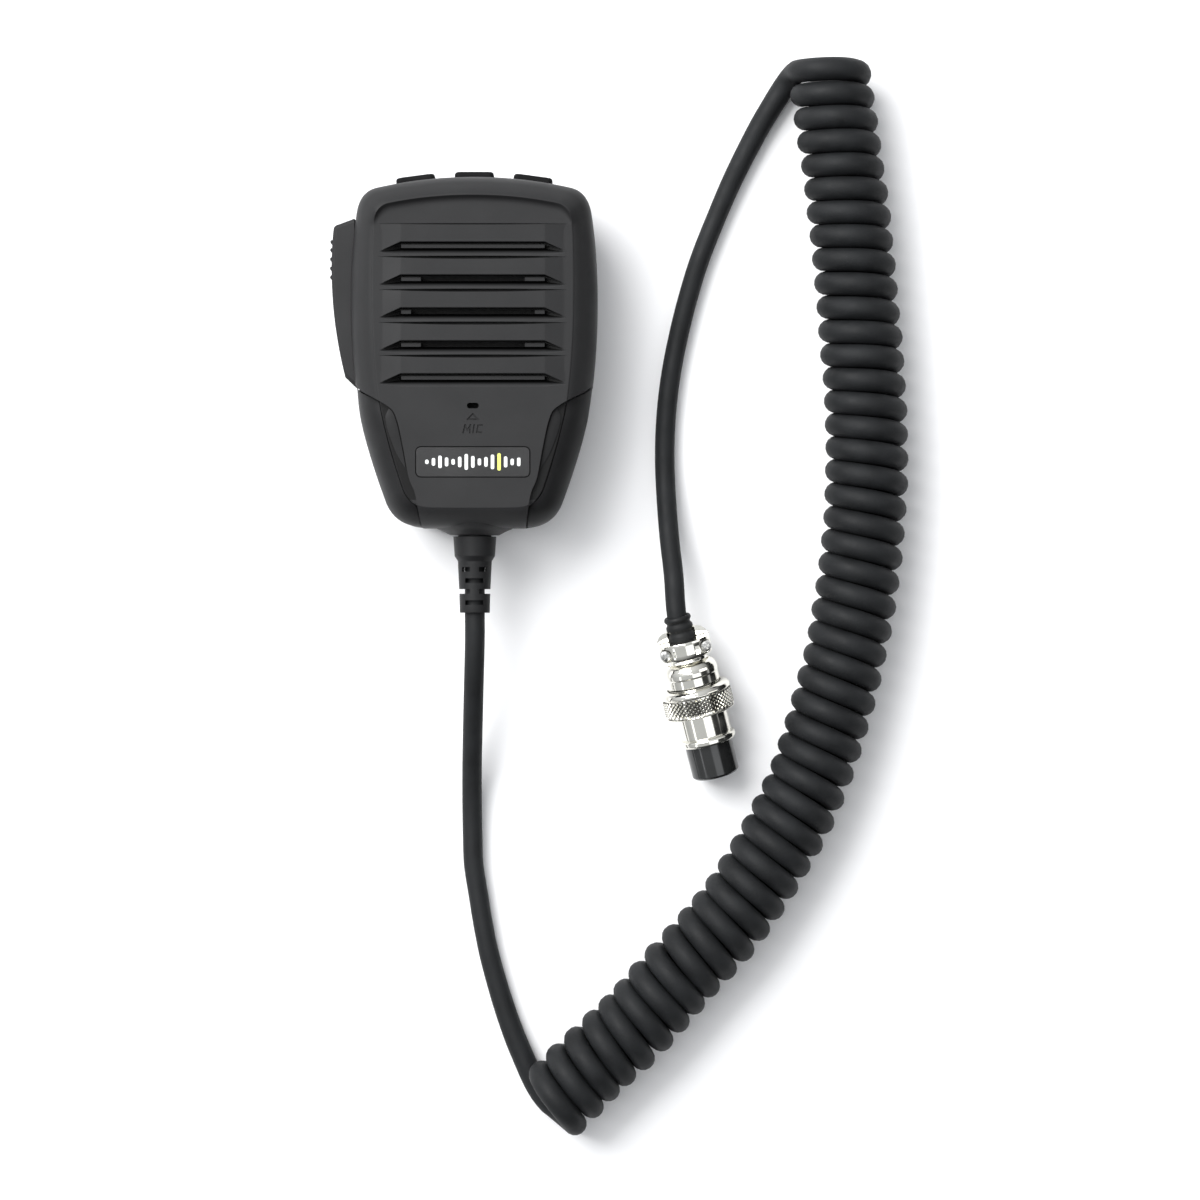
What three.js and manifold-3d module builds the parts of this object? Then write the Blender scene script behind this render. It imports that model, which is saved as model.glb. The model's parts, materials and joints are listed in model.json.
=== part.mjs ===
// Hand microphone with speaker grille, push-to-talk bar, three top keys, curly cord and round screw plug.
// Millimetres, +Z out of the front face, +Y towards the top, origin on the hang stud's outer face.
import * as THREE from "three";
import { ConvexGeometry } from "three/addons/geometries/ConvexGeometry.js";
import { mergeVertices } from "three/addons/utils/BufferGeometryUtils.js";
import Module from "manifold-3d";

const wasm = await Module();
wasm.setup();

// ---- Driving dimensions -------------------------------------------------
const BACK = 7; // rear skin, above the surface that the stud lies on
const PARTING = 17; // where the rear cover ends
const SEAM = 0.3; // gap between pieces that meet
const FACE = 33.2; // flat front face
const CREST = 34.4; // brow along the top edge
const WALL = 2.8;
const FLOOR = BACK + WALL; // inside of the rear cover
const CEILING = FACE - WALL; // inside of the front cover
const BOARD = { z: 13, thick: 1.6 };
const SWITCH_Z = 17.2;
const SPEAKER = { y: 7.75, r: 18 };
const MIC = { y: -18.25, r: 6 };
const LOUVRE = { count: 5, pitch: 8.13, firstTop: 26.6, drop: 4.45, halfWidth: 22.8 };
const PLATE = { y: -32.15, width: 28.2, height: 7.5, corner: 1.25 };
const PTT = { low: 12, high: 25, middle: 18.5, face: -28.9, pinX: -27.9, pinY: -10.5, pressY: 18.5 };
const POCKET = { x: -26.2, bottom: -13.6, top: 29.4, low: 11.5, high: 25.5 };
const KEY = { x: 14.6, width: 9.8, proud: 1.5, z: 19.6, depth: 7.6 };
const TOP_RADIUS = 110; // arch of the top edge
const TOP_Y = 39.2;
const CASE_POSTS = [[-22, 28], [22, 28], [-15, -37.5], [15, -37.5]];
const CLAMP_POSTS = [[-6, -37], [6, -37]];
const BOARD_POSTS = [[-17, -26], [17, -26]];
const STUD = { headR: 7.9, headThick: 2.4, neckR: 4 };
const EXIT = { z: 18.5 }; // where the cord leaves the case
const CABLE_R = 2.5;
const CURL_R = 10.65;

// ---- Materials ------------------------------------------------------------
const finish = (color, roughness, metalness = 0) =>
  new THREE.MeshStandardMaterial({ color, roughness, metalness });
const CASE = finish(0x3c3c3d, 0.55);
const GRIP_RUBBER = finish(0x232324, 0.45);
const KEYCAP = finish(0x2a2a2b, 0.6);
const PLATE_FINISH = finish(0x202021, 0.35);
const CORD = finish(0x26282a, 0.6);
const SLEEVE = finish(0x2e3032, 0.65);
const NICKEL = finish(0xcfcfc8, 0.2, 1);
const STEEL = finish(0x9c9c9a, 0.35, 1);
const GLOSS = finish(0x2b2c2d, 0.2);
const BRASS = finish(0xc9a24a, 0.3, 1);
const BOARD_GREEN = finish(0x1f5a36, 0.5);
const CLOTH = finish(0x111111, 0.95);
const PAPER = finish(0x2a2722, 0.9);
const FERRITE = finish(0x55565a, 0.5, 0.6);
const NYLON = finish(0xe6e2d5, 0.5);
const WIRE = finish(0xa02020, 0.5);

// ---- Solids ---------------------------------------------------------------
const part = new THREE.Group();

function solidOf(geometry) {
  const bare = geometry.clone();
  bare.deleteAttribute("normal");
  bare.deleteAttribute("uv");
  const merged = mergeVertices(bare, 1e-4);
  const vertProperties = merged.attributes.position.array;
  const triVerts = new Uint32Array(merged.index.array);
  return new wasm.Manifold(new wasm.Mesh({ numProp: 3, vertProperties, triVerts }));
}

function geometryOf(solid) {
  const mesh = solid.getMesh();
  const geometry = new THREE.BufferGeometry();
  geometry.setAttribute("position", new THREE.BufferAttribute(mesh.vertProperties, 3));
  geometry.setIndex(new THREE.BufferAttribute(mesh.triVerts, 1));
  return geometry;
}

function addNode(name, shape, material, parent = part) {
  const geometry = shape.isBufferGeometry ? shape : geometryOf(shape);
  const mesh = new THREE.Mesh(geometry, material);
  mesh.name = name;
  parent.add(mesh);
  return mesh;
}

// A box from its lowest corner to its highest.
function box(low, high) {
  const size = high.map((v, i) => v - low[i]);
  const centre = high.map((v, i) => (v + low[i]) / 2);
  return new THREE.BoxGeometry(...size).translate(...centre);
}

// A round bar along Z from z0 to z1, centred on (x, y).
function barZ(x, y, z0, z1, radius, sides = 12) {
  return new THREE.CylinderGeometry(radius, radius, z1 - z0, sides)
    .rotateX(Math.PI / 2)
    .translate(x, y, (z0 + z1) / 2);
}

// A round bar along X from x0 to x1.
function barX(x0, x1, y, z, radius, sides = 12) {
  return new THREE.CylinderGeometry(radius, radius, x1 - x0, sides)
    .rotateZ(Math.PI / 2)
    .translate((x0 + x1) / 2, y, z);
}

// A turned solid about its own +Y: [radius, along] pairs round the section, closed on the axis or on itself.
function turned(profile, sides = 20) {
  const points = profile.map(([r, y]) => new THREE.Vector2(r, y));
  const onAxis = profile[0][0] === 0 && profile.at(-1)[0] === 0;
  if (THREE.ShapeUtils.isClockWise(points)) points.reverse();
  if (!onAxis) points.push(points[0].clone());
  return new THREE.LatheGeometry(points, sides);
}

// The same about +Z, at (x, y).
const turnedZ = (profile, x, y, sides) => turned(profile, sides).rotateX(Math.PI / 2).translate(x, y, 0);

// A flat outline given thickness from z0 to z1.
function plate(shape, z0, z1, curveSegments = 3) {
  return new THREE.ExtrudeGeometry(shape, { depth: z1 - z0, bevelEnabled: false, curveSegments })
    .translate(0, 0, z0);
}

function polygon(points) {
  return new THREE.Shape(points.map(([x, y]) => new THREE.Vector2(x, y)));
}

function roundedRectangle(x, y, width, height, r) {
  const [x0, x1, y0, y1] = [x - width / 2, x + width / 2, y - height / 2, y + height / 2];
  const shape = new THREE.Shape();
  shape.moveTo(x0 + r, y0);
  shape.lineTo(x1 - r, y0).absarc(x1 - r, y0 + r, r, -Math.PI / 2, 0);
  shape.lineTo(x1, y1 - r).absarc(x1 - r, y1 - r, r, 0, Math.PI / 2);
  shape.lineTo(x0 + r, y1).absarc(x0 + r, y1 - r, r, Math.PI / 2, Math.PI);
  shape.lineTo(x0, y0 + r).absarc(x0 + r, y0 + r, r, Math.PI, 1.5 * Math.PI);
  return shape;
}

const hull = (points) => new ConvexGeometry(points.map((p) => new THREE.Vector3(...p)));

// A cord or wire of one radius along a smooth line through the points.
function tube(points, radius, sides, steps) {
  const section = new THREE.Shape();
  section.absarc(0, 0, radius, 0, 2 * Math.PI);
  const line = new THREE.CatmullRomCurve3(points.map((p) => new THREE.Vector3(...p)));
  return new THREE.ExtrudeGeometry(section, { steps, extrudePath: line, curveSegments: sides / 2 });
}

// ---- Case outline -----------------------------------------------------------
// Half of the outline from the top centre, as quadratic bends: control point, end point.
const OUTLINE_START = [0, TOP_Y];
const OUTLINE_BENDS = [
  [[12.2, 39.2], [24.2, 36.5]],
  [[28.7, 35.5], [29.5, 29.5]],
  [[30.9, 20], [30.95, 10]],
  [[31.1, -6], [28.6, -20.5]],
  [[27, -28.7], [22.4, -41.25]],
  [[20.2, -48], [12.5, -48.35]],
  [[6, -48.4], [0, -48.4]],
];
const POINTS_PER_BEND = 3;

function outline() {
  const half = [];
  let from = OUTLINE_START;
  for (const [control, to] of OUTLINE_BENDS) {
    for (let i = 0; i < POINTS_PER_BEND; i++) {
      const t = i / POINTS_PER_BEND;
      const mix = (k) => (1 - t) ** 2 * from[k] + 2 * t * (1 - t) * control[k] + t * t * to[k];
      half.push([mix(0), mix(1)]);
    }
    from = to;
  }
  half.push(from);
  const mirrored = half.slice(1, -1).reverse().map(([x, y]) => [-x, y]);
  return [...half, ...mirrored].reverse(); // anticlockwise
}

const OUTLINE = outline();
const INWARDS = OUTLINE.map((_, i) => {
  const before = OUTLINE.at(i - 1);
  const after = OUTLINE[(i + 1) % OUTLINE.length];
  return new THREE.Vector2(before[1] - after[1], after[0] - before[0]).normalize();
});

// A closed skin through the outline, drawn in by an inset at each height.
function loft(levels) {
  const count = OUTLINE.length;
  const vertices = [];
  for (const [z, inset] of levels)
    OUTLINE.forEach(([x, y], i) => vertices.push(x + INWARDS[i].x * inset, y + INWARDS[i].y * inset, z));
  vertices.push(0, 0, levels[0][0], 0, 0, levels.at(-1)[0]);
  const [lowCentre, highCentre] = [levels.length * count, levels.length * count + 1];
  const top = (levels.length - 1) * count;
  const faces = [];
  for (let i = 0; i < count; i++) {
    const j = (i + 1) % count;
    faces.push(lowCentre, j, i, highCentre, top + i, top + j);
    for (let k = 0; k < levels.length - 1; k++) {
      const [a, b] = [k * count, (k + 1) * count];
      faces.push(a + i, a + j, b + j, a + i, b + j, b + i);
    }
  }
  const geometry = new THREE.BufferGeometry();
  geometry.setAttribute("position", new THREE.BufferAttribute(new Float32Array(vertices), 3));
  geometry.setIndex(faces);
  return solidOf(geometry);
}

// Height and inset of the skin, from the back edge to the brow.
const SKIN = [
  [BACK, 4.2], [BACK + 0.8, 2.2], [BACK + 2.6, 0.8], [BACK + 5, 0.1], [24, 0.1],
  [27.5, 0.8], [30.5, 2.6], [FACE - 0.6, 4.4], [FACE, 5], [CREST, 5.8],
];
const inset = (by, levels = SKIN) => levels.map(([z, d]) => [z, d + by]);
const body = loft(SKIN);
const cavity = loft([
  [FLOOR, 4], [FLOOR + 1.5, WALL + 0.3], [25, WALL + 0.3], [28.5, WALL + 1.4], [CEILING, WALL + 3],
]);

const above = solidOf(box([-45, -70, PARTING + SEAM], [45, 50, 50]));
const below = solidOf(box([-45, -70, -5], [45, 50, PARTING]));

// ---- Side grips -------------------------------------------------------------
const GRIP_EDGE = [
  [29.57, -13.14], [28.56, -14.52], [25.05, -16.2], [21.9, -18.1], [20.07, -19.63], [18.97, -22.23],
  [17.54, -28.71], [16.0, -36.61], [14.72, -39.72], [13.93, -43.77], [13.29, -47.97],
];
const GRIP = { depth: 1.3, gap: 0.3, low: 11.8 };

function gripPrism(side, grow) {
  const edge = GRIP_EDGE.map(([x, y]) => [x - grow, y + grow * 0.6]);
  const points = [[40, edge[0][1]], ...edge, [edge.at(-1)[0], -60], [40, -60]];
  const shape = polygon(points.map(([x, y]) => [side * x, y]));
  return solidOf(plate(shape, GRIP.low - grow, CREST + 3));
}

const lowered = (by) => SKIN.map(([z, d]) => [z > PARTING ? z - by : z + by, d + by]);
const gripCore = loft(lowered(GRIP.depth));
const pocketCore = loft(lowered(GRIP.depth + GRIP.gap));

function gripSolid(side) {
  return loft(inset(0.02)).intersect(gripPrism(side, 0)).subtract(gripCore);
}

const gripPockets = [-1, 1]
  .map((side) => gripPrism(side, GRIP.gap).subtract(pocketCore))
  .reduce((a, b) => a.add(b));

// ---- Openings shared by both covers -------------------------------------------
const pttPocket = solidOf(
  box([-45, POCKET.bottom, POCKET.low], [POCKET.x, POCKET.top, POCKET.high]),
);
const pusherHole = solidOf(
  box([POCKET.x - 1, PTT.pressY - 2.2, SWITCH_Z - 2.2], [POCKET.x + 3, PTT.pressY + 2.2, SWITCH_Z + 2.2]),
);
const pinHole = solidOf(barZ(PTT.pinX, PTT.pinY, POCKET.low - 1.6, POCKET.high + 1.6, 0.95));

// The top keys stand square to the arch: a group turned about Z at each key's own place.
const KEYS = [["left", -KEY.x], ["centre", 0], ["right", KEY.x]].map(([name, x]) => {
  const frame = new THREE.Matrix4()
    .makeTranslation(x, TOP_Y - (x * x) / (2 * TOP_RADIUS), 0)
    .multiply(new THREE.Matrix4().makeRotationZ(-x / TOP_RADIUS));
  return { name, frame };
});
const keyBox = (halfX, y0, y1, halfZ, z = KEY.z) =>
  box([-halfX, y0, z - halfZ], [halfX, y1, z + halfZ]);
const KEY_HALF = KEY.width / 2;
const KEY_FLANGE = { half: KEY_HALF + 1.1, y0: -4.9, y1: -3.55 };
const KEY_SWITCH = { y0: -11.3, y1: -7.3, halfZ: 2.5 };

const keyHoles = KEYS.map(({ frame }) =>
  solidOf(keyBox(KEY_HALF + SEAM, -4, 4, KEY.depth / 2 + SEAM).applyMatrix4(frame)),
).reduce((a, b) => a.add(b));

const exitBoss = solidOf(
  turned([[0, -46], [10.6, -46], [9.4, -48.4], [7.4, -49.3], [6.1, -50], [0, -50]])
    .translate(0, 0, EXIT.z),
);
const exitBore = solidOf(
  turned([[0, -52], [4.5, -52], [4.5, -46.8], [7, -46.8], [7, -44], [0, -44]])
    .translate(0, 0, EXIT.z),
);

const join = (geometries) => geometries.map(solidOf).reduce((a, b) => a.add(b));

// The wall behind the push-to-talk bar, kept solid where the pocket reaches in.
const pocketWall = solidOf(
  box([-32, POCKET.bottom - 1.6, 5], [POCKET.x + 1.5, POCKET.top + 1.4, CEILING + 1]),
);
const hollow = cavity.subtract(pocketWall);
const openings = gripPockets.add(pttPocket).add(pusherHole).add(pinHole).add(keyHoles).add(exitBore);

// ---- Rear cover -----------------------------------------------------------------
const SCREW_SEAT = BACK + 4.4; // where a case screw's head bears

function rearCover() {
  const posts = join([
    ...CASE_POSTS.map(([x, y]) => barZ(x, y, BACK + 0.4, PARTING, 3)),
    ...BOARD_POSTS.map(([x, y]) => barZ(x, y, FLOOR - 0.5, BOARD.z - 0.1, 2.6)),
    ...CLAMP_POSTS.map(([x, y]) => barZ(x, y, FLOOR - 0.5, PARTING, 2.2)),
  ]);
  const holes = join([
    ...CASE_POSTS.map(([x, y]) => barZ(x, y, BACK - 1, SCREW_SEAT, 2.7)),
    ...CASE_POSTS.map(([x, y]) => barZ(x, y, BACK, PARTING + 1, 1.5, 12)),
    ...BOARD_POSTS.map(([x, y]) => barZ(x, y, FLOOR, BOARD.z + 1, 1.1, 12)),
    ...CLAMP_POSTS.map(([x, y]) => barZ(x, y, FLOOR + 1, PARTING + 1, 1.1, 12)),
    barZ(0, 0, BACK - 1, FLOOR + 1, 2.3),
  ]);
  const shell = body.add(exitBoss).subtract(hollow).intersect(below);
  return shell.add(posts).subtract(openings).subtract(holes);
}

// ---- Front cover ------------------------------------------------------------------
// One slat: a wedge that rises to a crest and falls away at both ends.
function slat(topY) {
  const low = topY - LOUVRE.drop;
  const crestHalf = LOUVRE.halfWidth - 5;
  return hull([
    [-LOUVRE.halfWidth, topY, FACE - 0.5], [LOUVRE.halfWidth, topY, FACE - 0.5],
    [-crestHalf, low, FACE + 1.2], [crestHalf, low, FACE + 1.2],
    [-LOUVRE.halfWidth, low, FACE - 0.5], [LOUVRE.halfWidth, low, FACE - 0.5],
    [-crestHalf, topY - 0.6, FACE], [crestHalf, topY - 0.6, FACE],
  ]);
}

// The groove under a slat, with a long slope back up to the face.
function groove(topY) {
  const high = topY - LOUVRE.drop + 0.1;
  const wide = LOUVRE.halfWidth + 0.6;
  const deep = LOUVRE.halfWidth - 2;
  const floor = FACE - 1.8;
  const mouth = FACE + 0.05;
  return hull([
    [-wide, high, mouth], [wide, high, mouth], [1 - wide, high - 2.9, mouth], [wide - 1, high - 2.9, mouth],
    [-deep, high, floor], [deep, high, floor], [-deep, high - 1.6, floor], [deep, high - 1.6, floor],
  ]);
}

const SLIT_HALF = [0, 13, 15.5, 13, 0]; // sound openings, closed behind the first and last slat

function slit(half, row) {
  const high = LOUVRE.firstTop - row * LOUVRE.pitch - LOUVRE.drop;
  return box([-half, high - 1.4, CEILING - 1], [half, high - 0.4, FACE]);
}

// A ring wall that hangs from the ceiling of the front cover.
function ringWall(y, outer, inner, low) {
  const high = CEILING + 0.3;
  return turnedZ([[inner, low], [outer, low], [outer, high], [inner, high]], 0, y, 20);
}

// The face below the brow, as a flat outline whose top edge runs parallel to the arch.
function faceOutline() {
  const shape = new THREE.Shape();
  shape.moveTo(-45, -60);
  shape.lineTo(45, -60);
  shape.lineTo(45, 22.8);
  shape.quadraticCurveTo(14, 32.9, 0, 32.9);
  shape.quadraticCurveTo(-14, 32.9, -45, 22.8);
  return shape;
}

function frontCover() {
  const rows = Array.from({ length: LOUVRE.count }, (_, row) => LOUVRE.firstTop - row * LOUVRE.pitch);
  const speakerWell = solidOf(barZ(0, SPEAKER.y, 25, CEILING, SPEAKER.r + 0.5, 20));
  const micWell = solidOf(barZ(0, MIC.y, 25, CEILING, MIC.r + 0.3, 16));
  const seat = roundedRectangle(0, PLATE.y, PLATE.width + 0.4, PLATE.height + 0.4, PLATE.corner + 0.2);
  const shell = body.add(exitBoss)
    .subtract(solidOf(plate(faceOutline(), FACE, CREST + 2)))
    .add(join(rows.map(slat)))
    .subtract(join(rows.map(groove)))
    .subtract(hollow);
  const posts = join(CASE_POSTS.map(([x, y]) => barZ(x, y, PARTING, CEILING + 0.3, 2.8)));
  const pilots = join(CASE_POSTS.map(([x, y]) => barZ(x, y, PARTING, CEILING - 1, 1.35, 12)));
  const rings = join([
    ringWall(SPEAKER.y, SPEAKER.r + 1.6, SPEAKER.r - 1, 27),
    ringWall(MIC.y, MIC.r + 1.3, MIC.r - 1, 26),
  ]);
  const slits = join(SLIT_HALF.map((half, row) => (half ? slit(half, row) : null)).filter(Boolean));
  return shell.add(posts)
    .add(rings.subtract(speakerWell).subtract(micWell))
    .subtract(openings)
    .subtract(slits)
    .subtract(pilots)
    .subtract(solidOf(box([-1.45, MIC.y - 0.7, 25], [1.45, MIC.y + 0.7, 40])))
    .subtract(solidOf(plate(seat, FACE - 0.8, FACE + 2)))
    .intersect(above);
}

addNode("rear_cover", rearCover(), CASE);
addNode("front_cover", frontCover(), CASE);
addNode("grip_left", gripSolid(-1), GRIP_RUBBER);
addNode("grip_right", gripSolid(1), GRIP_RUBBER);
const badge = roundedRectangle(0, PLATE.y, PLATE.width - 0.2, PLATE.height - 0.2, PLATE.corner);
addNode("nameplate", plate(badge, FACE - 0.5, FACE + 0.1), PLATE_FINISH);

// ---- Screws: pan head and plain shank, head at the start of the shank -----------------
function screw(x, y, headZ, headR, headThick, shankR, length, up = true) {
  const way = up ? 1 : -1;
  const head = barZ(x, y, ...[headZ - way * headThick, headZ].sort((a, b) => a - b), headR);
  const shank = barZ(x, y, ...[headZ - way * 0.2, headZ + way * length].sort((a, b) => a - b), shankR, 12);
  return join([head, shank]);
}

CASE_POSTS.forEach(([x, y], i) =>
  addNode(`case_screw_${i + 1}`, screw(x, y, SCREW_SEAT - 0.15, 2.4, 1.8, 1.15, 13), STEEL));

// ---- Hang stud: round cap on a neck, held by a screw from inside ----------------------
const STUD_NECK_TOP = BACK - 0.15;
addNode("hang_cap", solidOf(barZ(0, 0, 0, STUD.headThick, STUD.headR, 32))
  .subtract(solidOf(barZ(0, 0, 0.8, 4, 1.9, 12))), STEEL);
addNode("hang_neck", solidOf(barZ(0, 0, STUD.headThick + 0.1, STUD_NECK_TOP, STUD.neckR, 24))
  .subtract(solidOf(barZ(0, 0, 0, 9, 1.9, 12))), STEEL);
addNode("hang_screw", screw(0, 0, FLOOR + 0.15, 3.4, 2, 1.6, FLOOR - 1, false), STEEL);

// ---- Circuit board ----------------------------------------------------------------------
const BOARD_TOP = BOARD.z + BOARD.thick;
const boardHoles = join(BOARD_POSTS.map(([x, y]) => barZ(x, y, BOARD.z - 1, BOARD_TOP + 1, 1.3, 12)));
const boardOutline = polygon([
  [-21.5, -30], [21.5, -30], [21.5, 24.3], [18, 24.3], [18, 33.3], [-18, 33.3], [-18, 24.3], [-21.5, 24.3],
]);
addNode("circuit_board", solidOf(plate(boardOutline, BOARD.z, BOARD_TOP)).subtract(boardHoles), BOARD_GREEN);
[["left", 0], ["right", 1]].forEach(([side, i]) => {
  const [x, y] = BOARD_POSTS[i];
  addNode(`board_screw_${side}`, screw(x, y, BOARD_TOP + 0.1, 2.1, 1.3, 0.9, 4, false), STEEL);
});
addNode("board_socket", box([-4.5, -27.5, BOARD_TOP + 0.05], [4.5, -22.5, 19.2]), NYLON);
addNode("wire_plug", box([-4.2, -31.6, BOARD_TOP + 0.3], [4.2, -27.7, 18.4]), NYLON);

// ---- Speaker and microphone, in line with the openings ------------------------------------
const speakerPart = (profile) => turnedZ(profile, 0, SPEAKER.y, 20);
addNode("speaker_magnet", barZ(0, SPEAKER.y, 18.6, 22.8, 10, 20), FERRITE);
addNode("speaker_frame", speakerPart([
  [4, 23], [10.8, 23], [16.6, 27], [SPEAKER.r, 27.3], [SPEAKER.r, 28.2],
  [15.5, 28.2], [15.5, 27.2], [10.2, 23.8], [4, 23.8],
]), STEEL);
addNode("speaker_cone", speakerPart([
  [0, 25.4], [3.4, 24.4], [14.6, 27.8], [15.2, 28],
  [15.1, 28.5], [14.4, 28.6], [3.8, 25.3], [3, 26.1], [0, 26.6],
]), PAPER);
addNode("speaker_gasket", speakerPart([
  [15.7, 28.4], [SPEAKER.r, 28.4], [SPEAKER.r, 29.5], [15.7, 29.5],
]), SLEEVE);
addNode("grille_cloth", barZ(0, SPEAKER.y, 29.7, 30.1, SPEAKER.r, 20), CLOTH);
addNode("mic_capsule", barZ(0, MIC.y, 23.2, 28.9, 4.7, 16), NICKEL);
addNode("mic_boot", turnedZ(
  [[5, 24], [MIC.r, 24], [MIC.r, 30.1], [1, 30.1], [1, 29.1], [5, 29.1]], 0, MIC.y, 16), SLEEVE);
const SPEAKER_WIRE = [[0, -4, 22], [0, -6.6, 21.6], [0, -9.6, 19.2], [0, -11.5, 16.6], [0, -12, BOARD_TOP + 0.3]];
addNode("speaker_wires", tube(SPEAKER_WIRE, 0.6, 6, 10), WIRE);

// ---- Push-to-talk bar: hinged at its lower end, sprung outwards -------------------------------
const PTT_RIBS = [23.1, 21.1, 18.8, 16.5, 14.3];

function pttBar() {
  const side = new THREE.Shape();
  side.moveTo(PTT.face, 28.8);
  side.lineTo(-30.2, 28.8);
  side.lineTo(-34.9, 26.9);
  side.quadraticCurveTo(-35.5, 24, -35.55, 17);
  side.quadraticCurveTo(-35.6, 3, -32.1, -10.75);
  side.lineTo(-29.8, -13);
  side.lineTo(PTT.pinX, -13);
  side.lineTo(-26.5, PTT.pinY);
  side.lineTo(PTT.face, -8);
  const ribs = PTT_RIBS.map((y) => barZ(-35.25, y, PTT.low + 1.5, PTT.high - 1.5, 0.8, 10));
  const nub = box(
    [PTT.face - 0.5, PTT.pressY - 1.6, SWITCH_Z - 1.6],
    [-24.3, PTT.pressY + 1.6, SWITCH_Z + 1.6],
  );
  return solidOf(plate(side, PTT.low, PTT.high))
    .add(join([...ribs, nub]))
    .subtract(solidOf(barZ(PTT.pinX, PTT.pinY, PTT.low - 1, PTT.high + 1, 0.9, 16)))
    .subtract(solidOf(barX(-31.8, PTT.face + 1, 5, PTT.middle, 2.3)));
}

addNode("ptt_bar", pttBar(), CASE);
addNode("ptt_pin", barZ(PTT.pinX, PTT.pinY, POCKET.low - 1.4, POCKET.high + 1.4, 0.78, 16), STEEL);
addNode("ptt_switch", solidOf(box([-21.9, 15.5, BOARD_TOP + 0.05], [-17.4, 21.5, 19.7]))
  .subtract(solidOf(barX(-23, -19.1, PTT.pressY, SWITCH_Z, 1.25))), KEYCAP);
addNode("ptt_plunger", barX(-24.1, -20.8, PTT.pressY, SWITCH_Z, 1), NYLON);

class Spring extends THREE.Curve {
  getPoint(t, target = new THREE.Vector3()) {
    const angle = t * 4 * 2 * Math.PI;
    return target.set(-31.4 + t * 4.8, 5 + 1.6 * Math.cos(angle), PTT.middle + 1.6 * Math.sin(angle));
  }
}
const springWire = new THREE.Shape();
springWire.absarc(0, 0, 0.25, 0, 2 * Math.PI);
addNode("ptt_spring", new THREE.ExtrudeGeometry(springWire,
  { steps: 32, extrudePath: new Spring(), curveSegments: 3 }), STEEL);

// ---- Top keys and their switches ---------------------------------------------------------------
for (const { name, frame } of KEYS) {
  const cap = roundedRectangle(0, KEY.z, KEY.width, KEY.depth, 1.4);
  const upright = new THREE.ExtrudeGeometry(cap, {
    depth: 4.2, bevelEnabled: true, bevelThickness: 0.5, bevelSize: 0.5, bevelOffset: -0.5,
    bevelSegments: 2, curveSegments: 2,
  }).rotateX(Math.PI / 2).translate(0, KEY.proud - 0.5, 0);
  const key = solidOf(upright).add(join([
    keyBox(KEY_FLANGE.half, KEY_FLANGE.y0, KEY_FLANGE.y1, 4.7),
    keyBox(1.4, -6, KEY_FLANGE.y0 + 0.2, 1.4, SWITCH_Z),
  ]));
  const holder = new THREE.Group();
  holder.applyMatrix4(frame);
  part.add(holder);
  addNode(`key_${name}`, key, KEYCAP, holder);
  const pocket = new THREE.CylinderGeometry(1.25, 1.25, 3, 16).translate(0, -7.6, SWITCH_Z);
  addNode(`key_switch_${name}`, solidOf(keyBox(3, KEY_SWITCH.y0, KEY_SWITCH.y1, KEY_SWITCH.halfZ, SWITCH_Z))
    .subtract(solidOf(pocket)), KEYCAP, holder);
  addNode(`key_plunger_${name}`,
    new THREE.CylinderGeometry(1, 1, 1.7, 16).translate(0, -7, SWITCH_Z), NYLON, holder);
}

// ---- Strain relief, inner core and its clamp ---------------------------------------------------
const RELIEF_END = -69.5;
const RELIEF_ROWS = [-58.6, -61.4, -64.1, -66.9];

function strainRelief() {
  const bore = CABLE_R + 0.15;
  const sleeve = solidOf(turned([
    [bore, RELIEF_END], [3.8, RELIEF_END], [3.97, -63.25], [4.3, -56.4], [5.07, -55.25], [5.5, -50.3],
    [4.2, -50.3], [4.2, -46.5], [6.7, -46.5], [6.7, -45], [bore, -45],
  ], 16));
  const notches = RELIEF_ROWS.flatMap((y, i) => i % 2
    ? [box([-1.6, y - 0.6, 1.9], [1.6, y + 0.6, 6]), box([-1.6, y - 0.6, -6], [1.6, y + 0.6, -1.9])]
    : [box([1, y - 0.6, -6], [6, y + 0.6, 6]), box([-6, y - 0.6, -6], [-1, y + 0.6, 6])]);
  return sleeve.subtract(join(notches));
}

// A round bar along Y from y0 to y1.
function barY(x, z, y0, y1, radius, sides = 20) {
  return new THREE.CylinderGeometry(radius, radius, y1 - y0, sides).translate(x, (y0 + y1) / 2, z);
}

const relief = addNode("strain_relief", strainRelief(), SLEEVE);
relief.position.z = EXIT.z;
const CORE_LINE = [[0, -44.4, EXIT.z], [0, -41, 16.4], [0, -37, 15.1], [0, -34, 15.7], [0, -32.1, 16.6]];
addNode("cable_core", tube(CORE_LINE, 1.2, 8, 12), CORD);
addNode("core_clamp", solidOf(box([-8.2, -39, PARTING + 0.15], [8.2, -35, PARTING + 2]))
  .subtract(join(CLAMP_POSTS.map(([x, y]) => barZ(x, y, PARTING - 1, PARTING + 3, 1.2, 12)))), SLEEVE);
[["left", 0], ["right", 1]].forEach(([side, i]) => {
  const [x, y] = CLAMP_POSTS[i];
  addNode(`core_clamp_screw_${side}`, screw(x, y, PARTING + 2.1, 2, 1.2, 0.9, 6, false), STEEL);
});

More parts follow.
